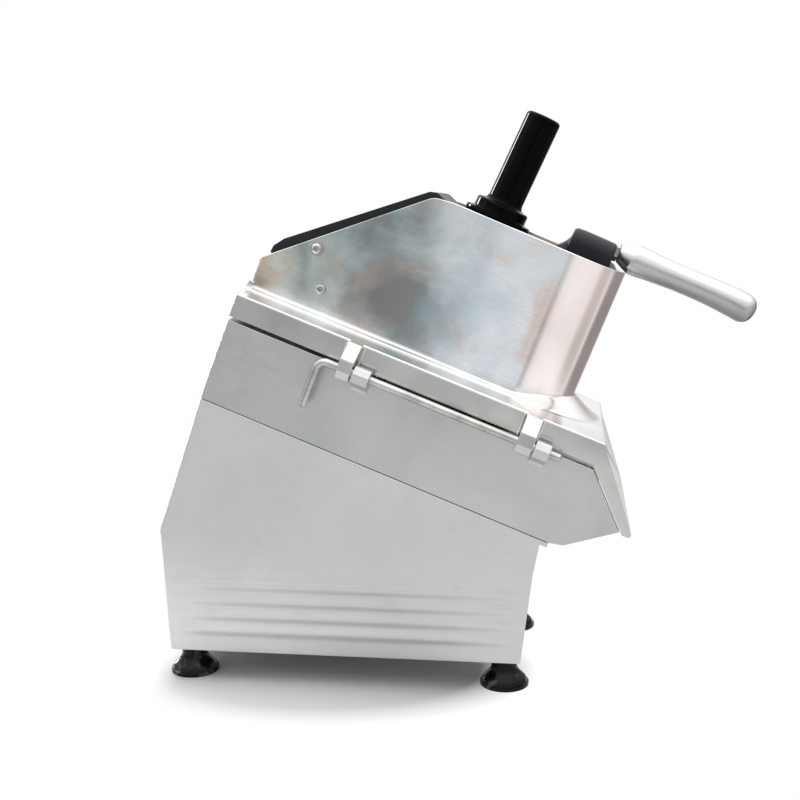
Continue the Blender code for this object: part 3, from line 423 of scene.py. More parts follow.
def nose(rear, centre, half, corner, steps=48):
    """The hopper's plan: a half circle in front, two straight sides and small rear corners."""
    points = arc((centre, 0), half, -90, 90, steps)
    points += arc((rear + corner, half - corner), corner, 90, 180, 6)
    points += arc((rear + corner, corner - half), corner, 180, 270, 6)
    return points


def quarter_turns(steps):
    """Angles from 0 to a quarter turn, both included."""
    return [radians(90 * i / steps) for i in range(steps + 1)]


def quarter(radius, height, across, up, steps):
    """Points of a profile's round upper edge, from upright at the radius and height to level."""
    turns = quarter_turns(steps)[1:]
    return [(radius - across * (1 - cos(t)), height + up * sin(t)) for t in turns]


# ---- solids ----


def loft(rings, looped=False):
    """A skin over rings of points; looped joins the last ring to the first, else both ends are capped."""
    bm = bmesh.new()
    loops = [[bm.verts.new(point) for point in ring] for ring in rings]
    pairs = list(zip(loops, loops[1:]))
    if looped:
        pairs.append((loops[-1], loops[0]))
    else:
        bm.faces.new(loops[0][::-1])
        bm.faces.new(loops[-1])
    for lower, upper in pairs:
        for i in range(len(lower)):
            k = (i + 1) % len(lower)
            bm.faces.new((lower[i], lower[k], upper[k], upper[i]))
    bmesh.ops.recalc_face_normals(bm, faces=bm.faces)
    return bm


def side_prism(outline, low, high):
    """An outline in x, z, extruded along y."""
    return loft([[(a, y, b) for a, b in outline] for y in (low, high)])


def plan_prism(outline, low, high):
    """An outline in x, y, extruded along z."""
    return loft([[(a, b, z) for a, b in outline] for z in (low, high)])


def end_prism(outline, low, high):
    """An outline in y, z, extruded along x."""
    return loft([[(x, a, b) for a, b in outline] for x in (low, high)])


def box(low, high):
    outline = [(low[0], low[1]), (high[0], low[1]), (high[0], high[1]), (low[0], high[1])]
    return plan_prism(outline, low[2], high[2])


def turned(profile, steps=64, bored=False):
    """A profile of radius, height points turned round z. A bored profile is a closed loop."""
    return loft([[(r * a, r * b, z) for a, b in circle(1, steps)] for r, z in profile], looped=bored)


def cylinder(radius, low, high, steps):
    return turned([(radius, low), (radius, high)], steps)


def upright_rear(first, second):
    """True for the upright edges of a casting's rear end."""
    return max(first.x, second.x) < 0.001 and abs(first.y - second.y) < 0.001


def is_sharp(edge, least):
    return len(edge.link_faces) == 2 and degrees(edge.calc_face_angle(0)) > least


def bevel(bm, edges, width, steps, profile=0.5, clamp=True):
    bmesh.ops.bevel(
        bm, geom=edges, offset=width, segments=steps, profile=profile, affect="EDGES", clamp_overlap=clamp
    )


def soften(bm, width, steps=3, least=28, test=None):
    """Rounds every edge that passes the test and whose faces turn by more than the least angle."""
    edges = [edge for edge in bm.edges if is_sharp(edge, least)]
    if test:
        edges = [edge for edge in edges if test(*(vert.co for vert in edge.verts))]
    bevel(bm, edges, width, steps)
    return bm


def moved(bm, matrix):
    bmesh.ops.transform(bm, matrix=matrix, verts=bm.verts)
    return bm


def shift(x=0.0, y=0.0, z=0.0):
    return Matrix.Translation((x, y, z))


def along_y(u, v):
    """Places a turned piece with its axis on +y."""
    return shift(u, 0, v) @ Matrix.Rotation(radians(-90), 4, "X")


def along_x(y, v):
    return shift(0, y, v) @ Matrix.Rotation(radians(90), 4, "Y")


def smooth_curve(points, steps):
    """Points on a Catmull-Rom curve through stations of any size."""
    vectors = [Vector(p) for p in points]
    ends = [2 * vectors[0] - vectors[1]] + vectors + [2 * vectors[-1] - vectors[-2]]
    curve = []
    for a, b, c, d in zip(ends, ends[1:], ends[2:], ends[3:]):
        square, cube = 2 * a - 5 * b + 4 * c - d, 3 * b - a - 3 * c + d
        for i in range(steps):
            t = i / steps
            curve.append(0.5 * (2 * b + (c - a) * t + square * t**2 + cube * t**3))
    return curve + [vectors[-1]]


def swept(stations, steps=48):
    """Circles along a path in the x, z plane: each station is x, z, radius."""
    rings = []
    for i, (x, z, radius) in enumerate(stations):
        before = stations[max(i - 1, 0)]
        after = stations[min(i + 1, len(stations) - 1)]
        along = Vector((after[0] - before[0], 0, after[1] - before[1])).normalized()
        across = Vector((0, 1, 0))
        up = along.cross(across)
        rings.append([Vector((x, 0, z)) + across * a + up * b for a, b in circle(radius, steps)])
    return loft(rings)


# ---- pieces ----

WORLD = Matrix.Identity(4)


def make_object(name, bm, place):
    mesh = bpy.data.meshes.new(name)
    bm.to_mesh(mesh)
    bm.free()
    obj = bpy.data.objects.new(name, mesh)
    bpy.context.scene.collection.objects.link(obj)
    obj.matrix_world = place
    return obj


def settled(obj):
    """Bakes an object's modifiers into its mesh and merges what they left double."""
    bpy.context.view_layer.update()
    graph = bpy.context.evaluated_depsgraph_get()
    mesh = bpy.data.meshes.new_from_object(obj.evaluated_get(graph))
    obj.modifiers.clear()
    obj.data = mesh
    bm = bmesh.new()
    bm.from_mesh(mesh)
    bmesh.ops.remove_doubles(bm, verts=bm.verts, dist=MERGE)
    bmesh.ops.dissolve_degenerate(bm, edges=bm.edges, dist=MERGE)
    bm.to_mesh(mesh)
    bm.free()


def worked(name, bm, steps, place=HEAD):
    """A solid after its Boolean steps: each step is ADD, CUT or KEEP and a solid."""
    obj = make_object(name, bm, place)
    for operation, tool_bm in steps:
        tool = make_object(f"{name}_tool", tool_bm, place)
        modifier = obj.modifiers.new(operation, "BOOLEAN")
        modifier.operation = operation
        modifier.object = tool
        modifier.solver = "EXACT"
        settled(obj)
        bpy.data.objects.remove(tool, do_unlink=True)
    result = bmesh.new()
    result.from_mesh(obj.data)
    bpy.data.objects.remove(obj, do_unlink=True)
    return result


def piece(name, bm, body, slot, replaced=(), place=HEAD):
    """A finished visual piece that rides on a body and stands for CAD nodes."""
    obj = make_object(name, moved(bm, place), WORLD)
    obj.data.materials.append(MATERIALS[slot])
    obj.data.shade_smooth()
    obj.data.set_sharp_from_angle(angle=SHARP_ANGLE)
    weighted = obj.modifiers.new("weighted", "WEIGHTED_NORMAL")
    weighted.keep_sharp = True
    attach(obj, body)
    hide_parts(*replaced)
    return obj


# ---- base housing and feet (world frame) ----


def seam_z(x):
    rear = HEAD @ Vector((0, 0, 0))
    return rear.z - (x - rear.x) * tan(TILT)


def base_half(x, z):
    """The side leans out from the floor line to the seam line."""
    rise = (z - FLOOR_Z) / (seam_z(x) - FLOOR_Z)
    return HALF_FLOOR + (HALF_SEAM - HALF_FLOOR) * rise


def bent(first, knee, last, t):
    """A point on two straight runs that meet at a softly rounded knee."""
    ease = 0.03
    lower = first.lerp(knee, t / KNEE_SHARE)
    upper = knee.lerp(last, (t - KNEE_SHARE) / (1 - KNEE_SHARE))
    share = min(max((t - KNEE_SHARE + ease) / (2 * ease), 0), 1)
    return lower.lerp(upper, share)


def rib_bulge(x, z, low, high):
    """The cast ribs swell softly and fade out towards the housing's ends."""
    half, height, fade = 0.0082, 0.0022, 0.02
    swell = sum(0.5 + 0.5 * cos(pi * min(abs(z - rib) / half, 1)) for rib in RIBS)
    inside = min(max(min(x - low, high - x) / fade, 0), 1)
    return height * swell * inside * inside * (3 - 2 * inside)


def base_ring(share_up, inset, drop=0.0):
    """A section of the housing with rounded upright edges. Its share up is 0 at the floor line and 1 at
    the seam; it is drawn in by the inset and lowered by the drop."""
    seam_rear = HEAD @ Vector((0, 0, -GAP))
    seam_front = HEAD @ Vector((FRONT_TOP_U, 0, -GAP))
    rear = bent(REAR_FLOOR, REAR_KNEE, Vector((seam_rear.x, seam_rear.z)), share_up)
    front = bent(FRONT_FLOOR, FRONT_KNEE, Vector((seam_front.x, seam_front.z)), share_up)
    low, high = rear.x + inset, front.x - inset
    radius, stations = max(BASE_CORNER - inset, 0.0018), 40
    turns = quarter_turns(10)
    sides = [(low + radius * (1 - cos(t)), sin(t)) for t in turns]
    straight = high - low - 2 * radius
    sides += [(low + radius + straight * i / stations, 1.0) for i in range(1, stations)]
    sides += [(high - radius * (1 - cos(t)), sin(t)) for t in reversed(turns)]
    ring = []
    for side in (1, -1):
        for x, share in sides if side > 0 else reversed(sides):
            z = rear.y + (front.y - rear.y) * (x - rear.x) / (front.x - rear.x) - drop
            half = base_half(x, z) - inset - radius * (1 - share)
            bulge = rib_bulge(x, z, low + radius, high - radius) if inset < 0.003 and share > 0.99 else 0
            ring.append((x, side * (half + bulge), z))
    return ring


def panel_matrix():
    """The switch panel's frame on the far side: its z stands out of the wall."""
    half = base_half(PANEL_X, PANEL_Z)
    return shift(PANEL_X, half, PANEL_Z) @ Matrix.Rotation(-PANEL_LEAN - radians(90), 4, "X")


def housing_bm():
    """The hollow housing: its outside with rounded lower and upper rims, then its inside."""
    edge, steps = 0.0012, 4
    count, margin = 90, 0.025
    turns = quarter_turns(steps)
    rings = [base_ring(0, edge * (1 - sin(t)), -edge * (1 - cos(t))) for t in turns[:-1]]
    rings += [base_ring(margin + (1 - 2 * margin) * i / count, 0) for i in range(count + 1)]
    rings += [base_ring(1, edge * (1 - cos(t)), edge * (1 - sin(t))) for t in turns[1:]]
    rings += [base_ring(share_up, BASE_WALL) for share_up in (1, KNEE_SHARE, 0)]
    return loft(rings, looped=True)


def build_housing():
    """Hollow base: a lip under the chamber's front, four foot bosses, a switch window and a gland hole."""
    half = HALF_SEAM - 0.0005
    lip = soften(box((FRONT_TOP_U - 0.0035, -half, -0.005), (FRONT_LIP_U, half, -GAP)), 0.0008)
    steps = [(ADD, moved(lip, HEAD))]
    for x in FOOT_X:
        for side in (-1, 1):
            ends_x = sorted((x - copysign(0.009, x), x + copysign(0.0165, x)))
            ends_y = sorted((side * 0.076, side * 0.1035))
            boss = plan_prism(rounded_rectangle(*ends_x, *ends_y, BASE_CORNER), 0.0325, 0.056)
            steps.append((ADD, boss))
            hole = cylinder(BOLT_HOLE, 0.03, 0.053, 24)
            steps.append((CUT, moved(hole, shift(x, side * FOOT_Y))))
    window = plan_prism(rounded_rectangle(-0.0364, 0.0364, -0.0214, 0.0214, 0.005), -0.01, 0.01)
    steps.append((CUT, moved(window, panel_matrix())))
    gland = cylinder(0.0088, -0.015, 0.015, 48)
    steps.append((CUT, moved(gland, shift(REAR_FLOOR.x) @ along_x(GLAND_Y, GLAND_Z))))
    bm = worked("housing", housing_bm(), steps, WORLD)
    piece("housing", bm, "base", "base_paint", ["base_housing"], WORLD)


def build_feet():
    """Suction feet: a stem, a flared bell and a thin lip that presses on the table."""
    bell = [(0.0233, 0.0052), (0.0215, 0.0085), (0.0178, 0.0122), (0.0146, 0.016), (0.0131, 0.02)]
    profile = [(0.019, 0.0), (0.0247, 0.0), (0.025, 0.0004), (0.025, 0.0032), (0.0245, 0.004)]
    profile += [(0.0236, 0.0042)] + [tuple(point) for point in smooth_curve(bell, 5)]
    profile += [(0.013, 0.0275), (0.0125, 0.0281), (0.005, 0.0281), (0.005, 0.0135)]
    profile += [(0.0085, 0.0135), (0.0085, 0.0065), (0.012, 0.0055)]
    for end, x in zip(("rear", "front"), FOOT_X):
        for side, y in (("hinge", -FOOT_Y), ("latch", FOOT_Y)):
            foot = f"foot_{end}_{side}_side"
            bm = moved(turned(profile, 72, bored=True), shift(x, y))
            piece(f"suction_{foot}", bm, "base", "rubber", [foot], WORLD)


# ---- chamber ----


def body_lug(low, high):
    """Chamber knuckle: a faceted boss round the rod on a web that runs down into the side wall."""
    outline = rounded([
        (-0.1185, 0.064, 0), (-0.1185, 0.0843, 0), (-0.1262, 0.0843, 0.001), (-0.13, 0.0938, 0.003),
        (-0.139, 0.0938, 0.004), (-0.1442, 0.086, 0.003), (-0.142, 0.0775, 0.004),
        (-0.1345, 0.0738, 0.006), (-0.124, 0.072, 0.006),
    ], 4)
    return soften(end_prism(outline, low, high), 0.0007)


def rod_hole():
    return moved(cylinder(ROD_HOLE, 0.1, 0.36, 32), along_x(*HINGE[1:]))


def latch_hole():
    return moved(cylinder(LATCH_HOLE, 0.15, 0.24, 24), along_x(*LATCH[1:]))


def build_chamber():
    """Cast chamber open to the front: a round pocket for the disc, a chute, hinge lugs and latch ears."""
    outline = [(0, GAP), (0.372, GAP), (0.3855, 0.0034), (0.4295, 0.037)]
    outline += [(0.383, CHAMBER_TOP), (0, CHAMBER_TOP)]
    shell = side_prism(outline, -HEAD_HALF, HEAD_HALF)
    soften(shell, HEAD_CORNER, 6, test=upright_rear)
    soften(shell, 0.0008, 3)
    steps = [(ADD, body_lug(low, high)) for low, high in BODY_LUGS]
    ear = [(0.1185, 0.0385), (LATCH[1], 0.0405)] + arc(LATCH[1:], 0.0085, -60, 60, 12)
    ear += [(LATCH[1], 0.0575), (0.1185, 0.0625)]
    for side in (-1, 1):
        middle = LATCH[0] + side * 0.0145
        steps.append((ADD, soften(end_prism(ear, middle - 0.0035, middle + 0.0035), 0.0006)))
    corner = 0.004
    bowl = [(POCKET_RADIUS - corner, CHAMBER_FLOOR), (POCKET_RADIUS, CHAMBER_FLOOR + corner)]
    bowl.append((POCKET_RADIUS, 0.12))
    chute = box((DISC_U + 0.01, -CHUTE_HALF, CHAMBER_FLOOR), (0.46, CHUTE_HALF, 0.13))
    mouth = box((0.366, 0.0002 - CHUTE_HALF, -0.02), (0.47, CHUTE_HALF - 0.0002, 0.14))
    hollow = plan_prism(rounded_rectangle(0.008, 0.137, -0.106, 0.106, 0.008), -0.02, 0.077)
    shaft_hole = plan_prism(circle(0.021, 64, (DISC_U, 0)), -0.02, 0.02)
    pocket = moved(turned(bowl, 128), shift(DISC_U))
    cuts = [pocket, chute, mouth, hollow, shaft_hole, rod_hole(), latch_hole()]
    steps += [(CUT, solid) for solid in cuts]
    bm = worked("chamber", shell, steps)
    piece("cutting_chamber", bm, "base", "cast_aluminium", ["chamber_body"])


# ---- lid and hopper ----


def lid_lug(low, high):
    """Lid knuckle: a block that leans out from the skirt's top edge and turns in below the rod."""
    outline = rounded([
        (-0.1195, 0.089, 0), (-0.1195, 0.112, 0), (-0.13, 0.1117, 0.004), (-0.1438, 0.096, 0.004),
        (-0.1443, 0.0835, 0.003), (-0.1395, 0.0752, 0.002), (-0.131, 0.0752, 0.003),
        (-0.1262, 0.089, 0.001),
    ], 4)
    return soften(end_prism(outline, low, high), 0.0008)


def lug_root(low, high):
    """Hollow fillets where a lid knuckle grows out of the skirt."""
    reach, wall = 0.006, -0.1202
    outline = arc((low - reach, wall - reach), reach, 90, 0, 8)
    outline += arc((high + reach, wall - reach), reach, 180, 90, 8)
    outline = [(low - reach, wall + 0.002)] + outline + [(high + reach, wall + 0.002)]
    return plan_prism(outline, LID_BOTTOM, 0.1105)


def hopper_fillet():
    """Where the hopper grows out of the lid: a low raised ring at the sides, a broad ramp under the nose."""
    # The share of the reach and of the height: at the sides, then in front.
    sections = [
        (1.0, -0.5, 1.0, -0.1), (1.0, 0.0, 1.0, 0.0), (0.97, 0.18, 0.82, 0.12), (0.9, 0.3, 0.62, 0.3),
        (0.5, 0.5, 0.42, 0.52), (0.12, 0.72, 0.22, 0.78), (0.03, 0.88, 0.06, 0.98),
        (-0.04, 1.2, -0.01, 1.1),
    ]
    rings = []
    for side_away, side_rise, front_away, front_rise in sections:
        ring = []
        for a, b in nose(HOPPER_REAR, NOSE_U, HOPPER_HALF, HOPPER_CORNER, NOSE_STEPS):
            forward = max(0.0, (a - NOSE_U) / HOPPER_HALF)
            out = Vector((a - NOSE_U, b)).normalized() if a > NOSE_U else Vector((0, copysign(1, b)))
            away = (0.0095 + 0.0285 * forward) * (side_away + (front_away - side_away) * forward)
            rise = (0.0032 + 0.0125 * forward) * (side_rise + (front_rise - side_rise) * forward)
            ring.append((a + out.x * away, b + out.y * away, LID_TOP - 0.0002 + rise))
        rings.append(ring)
    return loft(rings)


def lid_shell():
    """Skirt, roof and hood as one casting seen from the side."""
    outline = rounded([
        (-0.0005, LID_BOTTOM, 0), (0.3808, LID_BOTTOM, 0), (0.4325, 0.0352, 0.002),
        (0.4434, 0.0357, 0.003), (0.3868, 0.1082, 0), (0.384, LID_TOP, 0), (-0.0005, LID_TOP, 0),
    ], 4)
    shell = side_prism(outline, -LID_HALF, LID_HALF)
    soften(shell, HEAD_CORNER, 6, test=upright_rear)
    soften(shell, 0.0012, 4, 20, test=lambda first, second: min(first.z, second.z) > 0.105)
    return soften(shell, 0.0005, 2, 40)


def is_rim(edge):
    """True for the sharp edges round the hopper's mouth and down its rear."""
    high = min(vert.co.z for vert in edge.verts) > 0.118
    point = edge.verts[0].co
    return high and is_sharp(edge, 40) and (abs(point.y) > 0.03 or point.x > 0.3 or point.x < 0.001)


def build_lid():
    """Lid and hopper as one casting: walls and throat added, then hollowed, then cut off under the lever."""
    above = rounded([
        (-0.03, 0.123, 0), (0.14, 0.2652, 0.02), (0.162, 0.267, 0.03), (0.4, 0.2615, 0),
        (0.4, 0.35, 0), (-0.03, 0.35, 0),
    ], 8)
    inside = HOPPER_HALF - HOPPER_WALL
    throat = nose(THROAT_REAR - HOPPER_WALL, NOSE_U, HOPPER_HALF - 0.0001, 0.006)
    hopper = nose(HOPPER_REAR, NOSE_U, HOPPER_HALF, HOPPER_CORNER, NOSE_STEPS)
    steps = [
        (CUT, box((0.0065, -LID_HALF + 0.006, 0.08), (0.379, LID_HALF - 0.006, 0.1065))),
        (ADD, plan_prism(throat, LID_BOTTOM, 0.111)),
        (ADD, plan_prism(hopper, 0.1095, 0.27)),
        (ADD, hopper_fillet()),
    ]
    rear = rounded([
        (0.0, 0.1175, 0), (0.005, 0.1175, 0), (0.005, -0.1175, 0), (0.0, -0.1175, 0),
        (-0.0045, -0.086, 0.02), (-0.0072, -0.062, 0.01), (-0.0072, 0.062, 0.01), (-0.0045, 0.086, 0.02),
    ], 5)
    steps.append((ADD, plan_prism(rear, LID_BOTTOM, LID_TOP - 0.0005)))
    ramp = [(-0.0072, 0.11), (-0.007, 0.1135), (-0.0066, 0.115), (-0.006, 0.1168), (-0.0054, 0.119)]
    ramp += [(0.0005, 0.119), (0.0005, 0.11)]
    ramp_half = HOPPER_HALF + 0.0015
    steps.append((ADD, side_prism(ramp, -ramp_half, ramp_half)))
    steps += [(ADD, made(low, high)) for low, high in LID_LUGS for made in (lug_root, lid_lug)]
    keeper = [(0.1195, 0.09, 0), (0.1288, 0.095, 0.001), (0.1288, 0.104, 0.001), (0.1195, 0.104, 0)]
    keeper_half = 0.01
    keeper = end_prism(rounded(keeper, 3), LATCH[0] - keeper_half, LATCH[0] + keeper_half)
    steps += [
        (ADD, soften(keeper, 0.0006)),
        (CUT, plan_prism(nose(HOPPER_REAR + HOPPER_WALL, NOSE_U, inside, 0.004, NOSE_STEPS), 0.113, 0.3)),
        (CUT, plan_prism(nose(THROAT_REAR, NOSE_U, inside - 0.0002, 0.004, NOSE_STEPS), 0.07, 0.2)),
        (CUT, side_prism(above, -0.1, 0.1)),
        (CUT, rod_hole()),
    ]
    for centre in (LEVER, STOP):
        hole = cylinder(BOLT_HOLE, -0.08, 0.08, 24)
        steps.append((CUT, moved(hole, along_y(*centre))))
    bm = worked("lid", lid_shell(), steps)
    edges = [edge for edge in bm.edges if is_rim(edge)]
    bevel(bm, edges, 0.0009, 3, clamp=False)
    piece("lid_and_hopper", bm, "lid", "polished_aluminium", ["lid_casting"])


def nut_bm(corner, bore, low, high, bore_steps):
    """A hexagon nut on z, with its edges rounded."""
    nut = soften(plan_prism(circle(corner, 6), low, high), 0.0005)
    return worked("nut", nut, [(CUT, cylinder(bore, low - 0.001, high + 0.001, bore_steps))])


def build_lid_screws():
    """Two button-head screws through the hopper, and their nuts on the far side."""
    outside = HOPPER_HALF + GAP
    chamfer, socket_corner = 0.0003, 0.0031
    for name, node_name, centre, radius, height, washer, tail in (
        ("pivot_screw", "pivot_bolt", LEVER, 0.0054, 0.005, 0.0014, 0.0085),
        ("stop_screw", "stop_bolt", STOP, 0.005, 0.0026, 0.0002, 0.007),
    ):
        profile = [(0.0035, outside + tail), (0.004, outside + tail - 0.0006), (0.004, -outside)]
        if washer > 0.001:
            profile += [(0.007, -outside), (0.0072, -outside - chamfer)]
            profile += [(0.0072, -outside - washer + chamfer), (0.007, -outside - washer)]
        neck = washer + height * 0.45
        head = [(radius, washer), (radius, neck)] + quarter(radius, neck, radius, height * 0.55, 6)[:-1]
        profile += [(r, -outside - z) for r, z in head]
        socket = plan_prism(circle(socket_corner, 6), -outside - height - washer - 0.001, -outside + 0.002)
        bm = worked(name, turned(profile, 48), [(CUT, socket)])
        piece(name, moved(bm, along_y(*centre)), "lid", "steel", [node_name])
    for name, node_name, centre, corner, height in (
        ("pivot_nut_far", "pivot_nut", LEVER, 0.0078, 0.0065),
        ("stop_nut_far", "stop_nut", STOP, 0.0072, 0.0055),
    ):
        bm = nut_bm(corner, BOLT_HOLE, outside, outside + height, 24)
        piece(name, moved(bm, along_y(*centre)), "lid", "steel", [node_name])


def build_hinge_rod():
    """A straight rod with one end bent down, its ends chamfered."""
    bend_radius, leg, chamfer = 0.009, 0.04, 0.0008
    centre = (LID_LUGS[0][0] - 0.011, HINGE[2] - bend_radius)
    bend = arc(centre, bend_radius, 180, 90, 16)
    tip_u, tip_v = bend[0][0], bend[0][1] - leg
    stations = [(tip_u, tip_v, ROD_RADIUS - chamfer), (tip_u, tip_v + chamfer, ROD_RADIUS)]
    stations += [(u, v, ROD_RADIUS) for u, v in bend]
    stations += [(u, HINGE[2], ROD_RADIUS) for u in (0.2, ROD_END - 0.0018)]
    stations.append((ROD_END, HINGE[2], ROD_RADIUS * 0.6))
    piece("hinge_pin", moved(swept(stations), shift(y=HINGE[1])), "hinge_rod", "steel", ["hinge_rod"])


# ---- lever, handle and pusher ----


def lever_plate_bm():
    """The bent plate seen from the side, with rounded upper long edges."""
    outline = rounded([
        (0.0025, 0.1535, 0.001), (0.0035, 0.1605, 0.003), (0.0115, 0.171, 0.004),
        (0.1335, 0.2685, 0.006), (0.141, 0.27, 0.006), (0.166, 0.26, 0.01), (0.3262, 0.26, 0),
        (0.3262, 0.25, 0), (0.164, 0.25, 0), (0.136, 0.256, 0), (0.015, 0.16, 0),
        (0.008, 0.15, 0.001),
    ], 4)
    plate = side_prism(outline, -LEVER_HALF, LEVER_HALF)
    top = [edge for edge in plate.edges if all(abs(vert.co.y) > 0.055 for vert in edge.verts)]
    top = [edge for edge in top if edge.verts[0].co.y * edge.verts[1].co.y > 0 and is_top(edge)]
    bevel(plate, top, 0.003, 2, 0.7)
    return plate


def is_top(edge):
    """True for the plate's upper edges: above the middle of its thickness."""
    middle = (edge.verts[0].co + edge.verts[1].co) / 2
    sloping = 0.152 + (middle.x - 0.005) * 0.8
    return middle.z > (sloping if middle.x < 0.135 else 0.258)


def boss_bm():
    """The boss that holds the handle: hollow sweep up from the plate, round back, level crown."""
    crown = [(0.247, 0.257)]
    crown += arc((0.2535, 0.288), 0.0285, 277, 340, 10)
    crown += arc((0.2852, 0.2828), 0.005, 155, 90, 5)
    crown += [(0.292, 0.288), (0.31, 0.2875), (0.323, 0.2868)]
    crown += arc((0.324, 0.2844), 0.0024, 80, 0, 4)
    foot = 0.255
    turns = quarter_turns(10)
    rings = []
    for u, top in crown:
        height = max(top - 0.256, 0.0002)
        corner = min(0.015, height * 0.8)
        half = 0.0185 + 0.0025 * min(height / 0.031, 1)
        side = [(half, foot)]
        side += [(half - corner * (1 - cos(t)), top - corner * (1 - sin(t))) for t in turns]
        ring = [(u, -a, b) for a, b in side] + [(u, a, b) for a, b in reversed(side)]
        rings.append(ring)
    return loft(rings)


def pusher_matrix():
    return shift(PUSHER_U, 0, PUSHER_V) @ Matrix.Rotation(PUSHER_LEAN, 4, "Y")


def pusher_hole():
    return moved(cylinder(PUSHER_HOLE, -0.2, 0.02, 64), pusher_matrix())


def stud_hole(low, high):
    return moved(cylinder(STUD_HOLE, low, high, 32), along_x(0, HANDLE_V))


def build_lever():
    """The black lever, the hollow block and the feed tube under it, and the small parts at its nose."""
    steps = [
        (KEEP, plan_prism(nose(-0.03, 0.2706, LEVER_HALF, 0.006, NOSE_STEPS), 0.1, 0.3)),
        (ADD, boss_bm()),
    ]
    for side in (-1, 1):
        ear = arc(LEVER, 0.011, 180, 360, 16)
        ear += [(LEVER[0] + 0.02, 0.208), (LEVER[0] - 0.012, 0.185)]
        steps.append((ADD, side_prism(ear, *sorted((side * 0.048, side * 0.055)))))
    steps += [
        (CUT, moved(cylinder(0.0046, -0.07, 0.07, 32), along_y(*LEVER))),
        (CUT, stud_hole(0.298, 0.34)),
        (CUT, pusher_hole()),
    ]
    bm = worked("lever", lever_plate_bm(), steps)
    piece("lever_cover", bm, "lever", "matte_black", ["lever_plate"])

    block = soften(plan_prism(nose(0.166, 0.27, 0.052, 0.006), 0.098, 0.2497), 0.0012)
    hollow = plan_prism(nose(0.17, 0.27, 0.048, 0.004), 0.103, 0.3)
    bm = worked("block", block, [(CUT, hollow), (CUT, pusher_hole())])
    piece("food_presser", bm, "lever", "white_plastic", ["presser_block"])
    inner, outer, low, high = 0.0252, 0.0276, -0.163, -0.003
    liner = turned([(inner, low), (outer, low), (outer, high), (inner, high)], 64, bored=True)
    piece("feed_tube_liner", moved(liner, pusher_matrix()), "lever", "white_plastic", ["feed_tube"])

    bm = moved(nut_bm(0.0102, STUD_HOLE, 0.3268, 0.3306, 32), along_x(0, HANDLE_V))
    piece("handle_locknut", bm, "lever", "steel", ["handle_nut"])

    tab = [(0.3266, 0.2502), (0.3266, 0.2675), (0.3305, 0.2675), (0.338, 0.261)]
    tab += [(0.338, 0.256), (0.333, 0.2502)]
    bm = soften(side_prism(tab, -0.012, 0.012), 0.0008)
    piece("switch_tab", bm, "lever", "white_plastic", ["interlock_tab"])


def build_handle():
    """A turned grip, bent slightly down: a blunt cone at the nut, a waist and a full round end."""
    cone = [(0.3309, 0.2795, 0.0084), (0.3313, 0.2795, 0.0091), (0.332, 0.2795, 0.0096)]
    body = [
        (0.3345, 0.2794, 0.0108), (0.344, 0.2789, 0.015), (0.3475, 0.2787, 0.0159),
        (0.352, 0.2785, 0.016), (0.376, 0.278, 0.0144), (0.403, 0.2776, 0.0136),
        (0.434, 0.2768, 0.0142), (0.459, 0.2752, 0.0152),
    ]
    stations = cone + [tuple(p) for p in smooth_curve(body, 6)]
    centre, direction = Vector((0.4665, 0.2742)), Vector((0.989, -0.148))
    end_length, end_radius = 0.0138, 0.0153
    for i in range(1, 13):
        turn = radians(7.4 * i)
        tip = centre + direction * end_length * sin(turn)
        stations.append((tip.x, tip.y, end_radius * cos(turn) ** 0.75))
    bm = worked("handle", swept(stations, 64), [(CUT, stud_hole(0.32, 0.357))])
    piece("turned_handle", bm, "lever", "turned_aluminium", ["handle_grip"])


def build_pusher():
    """Glossy grip with a flange and a collar, and the plunger under it."""
    collar, stem = 0.028, 0.0182
    grip = [(0.0325, 0.0), (0.0346, 0.0006), (0.0353, 0.0018), (0.0353, 0.0062), (0.0346, 0.0073)]
    grip += [(0.031, 0.0079), (0.0292, 0.0084), (0.0283, 0.0092), (collar, 0.0105), (collar, 0.0163)]
    grip += quarter(collar, 0.0163, 0.0028, 0.0028, 6)
    grip += [(0.0236, 0.0193), (0.0222, 0.0196)]
    grip += [(0.0183 + 0.0032 * (1 - sin(t)), 0.02 + 0.006 * (1 - cos(t))) for t in quarter_turns(6)]
    grip += [(stem, 0.0435), (stem, 0.0735), (stem, 0.1123)]
    grip += quarter(stem, 0.1123, 0.004, 0.0038, 6)
    grip += [(0.012, 0.1163), (0.009, 0.1164), (0.004, 0.1165)]
    bm = moved(turned(grip, 96), pusher_matrix())
    piece("pusher_handle", bm, "pusher", "gloss_black", ["pusher_grip"])
    piston = [(0.0228, -0.1625), (0.024, -0.162), (0.0243, -0.1608), (0.0243, -0.0004)]
    bm = moved(turned(piston, 64), pusher_matrix())
    piece("pusher_plunger", bm, "pusher", "white_plastic", ["pusher_piston"])


# ---- disc drive, latch, controls ----


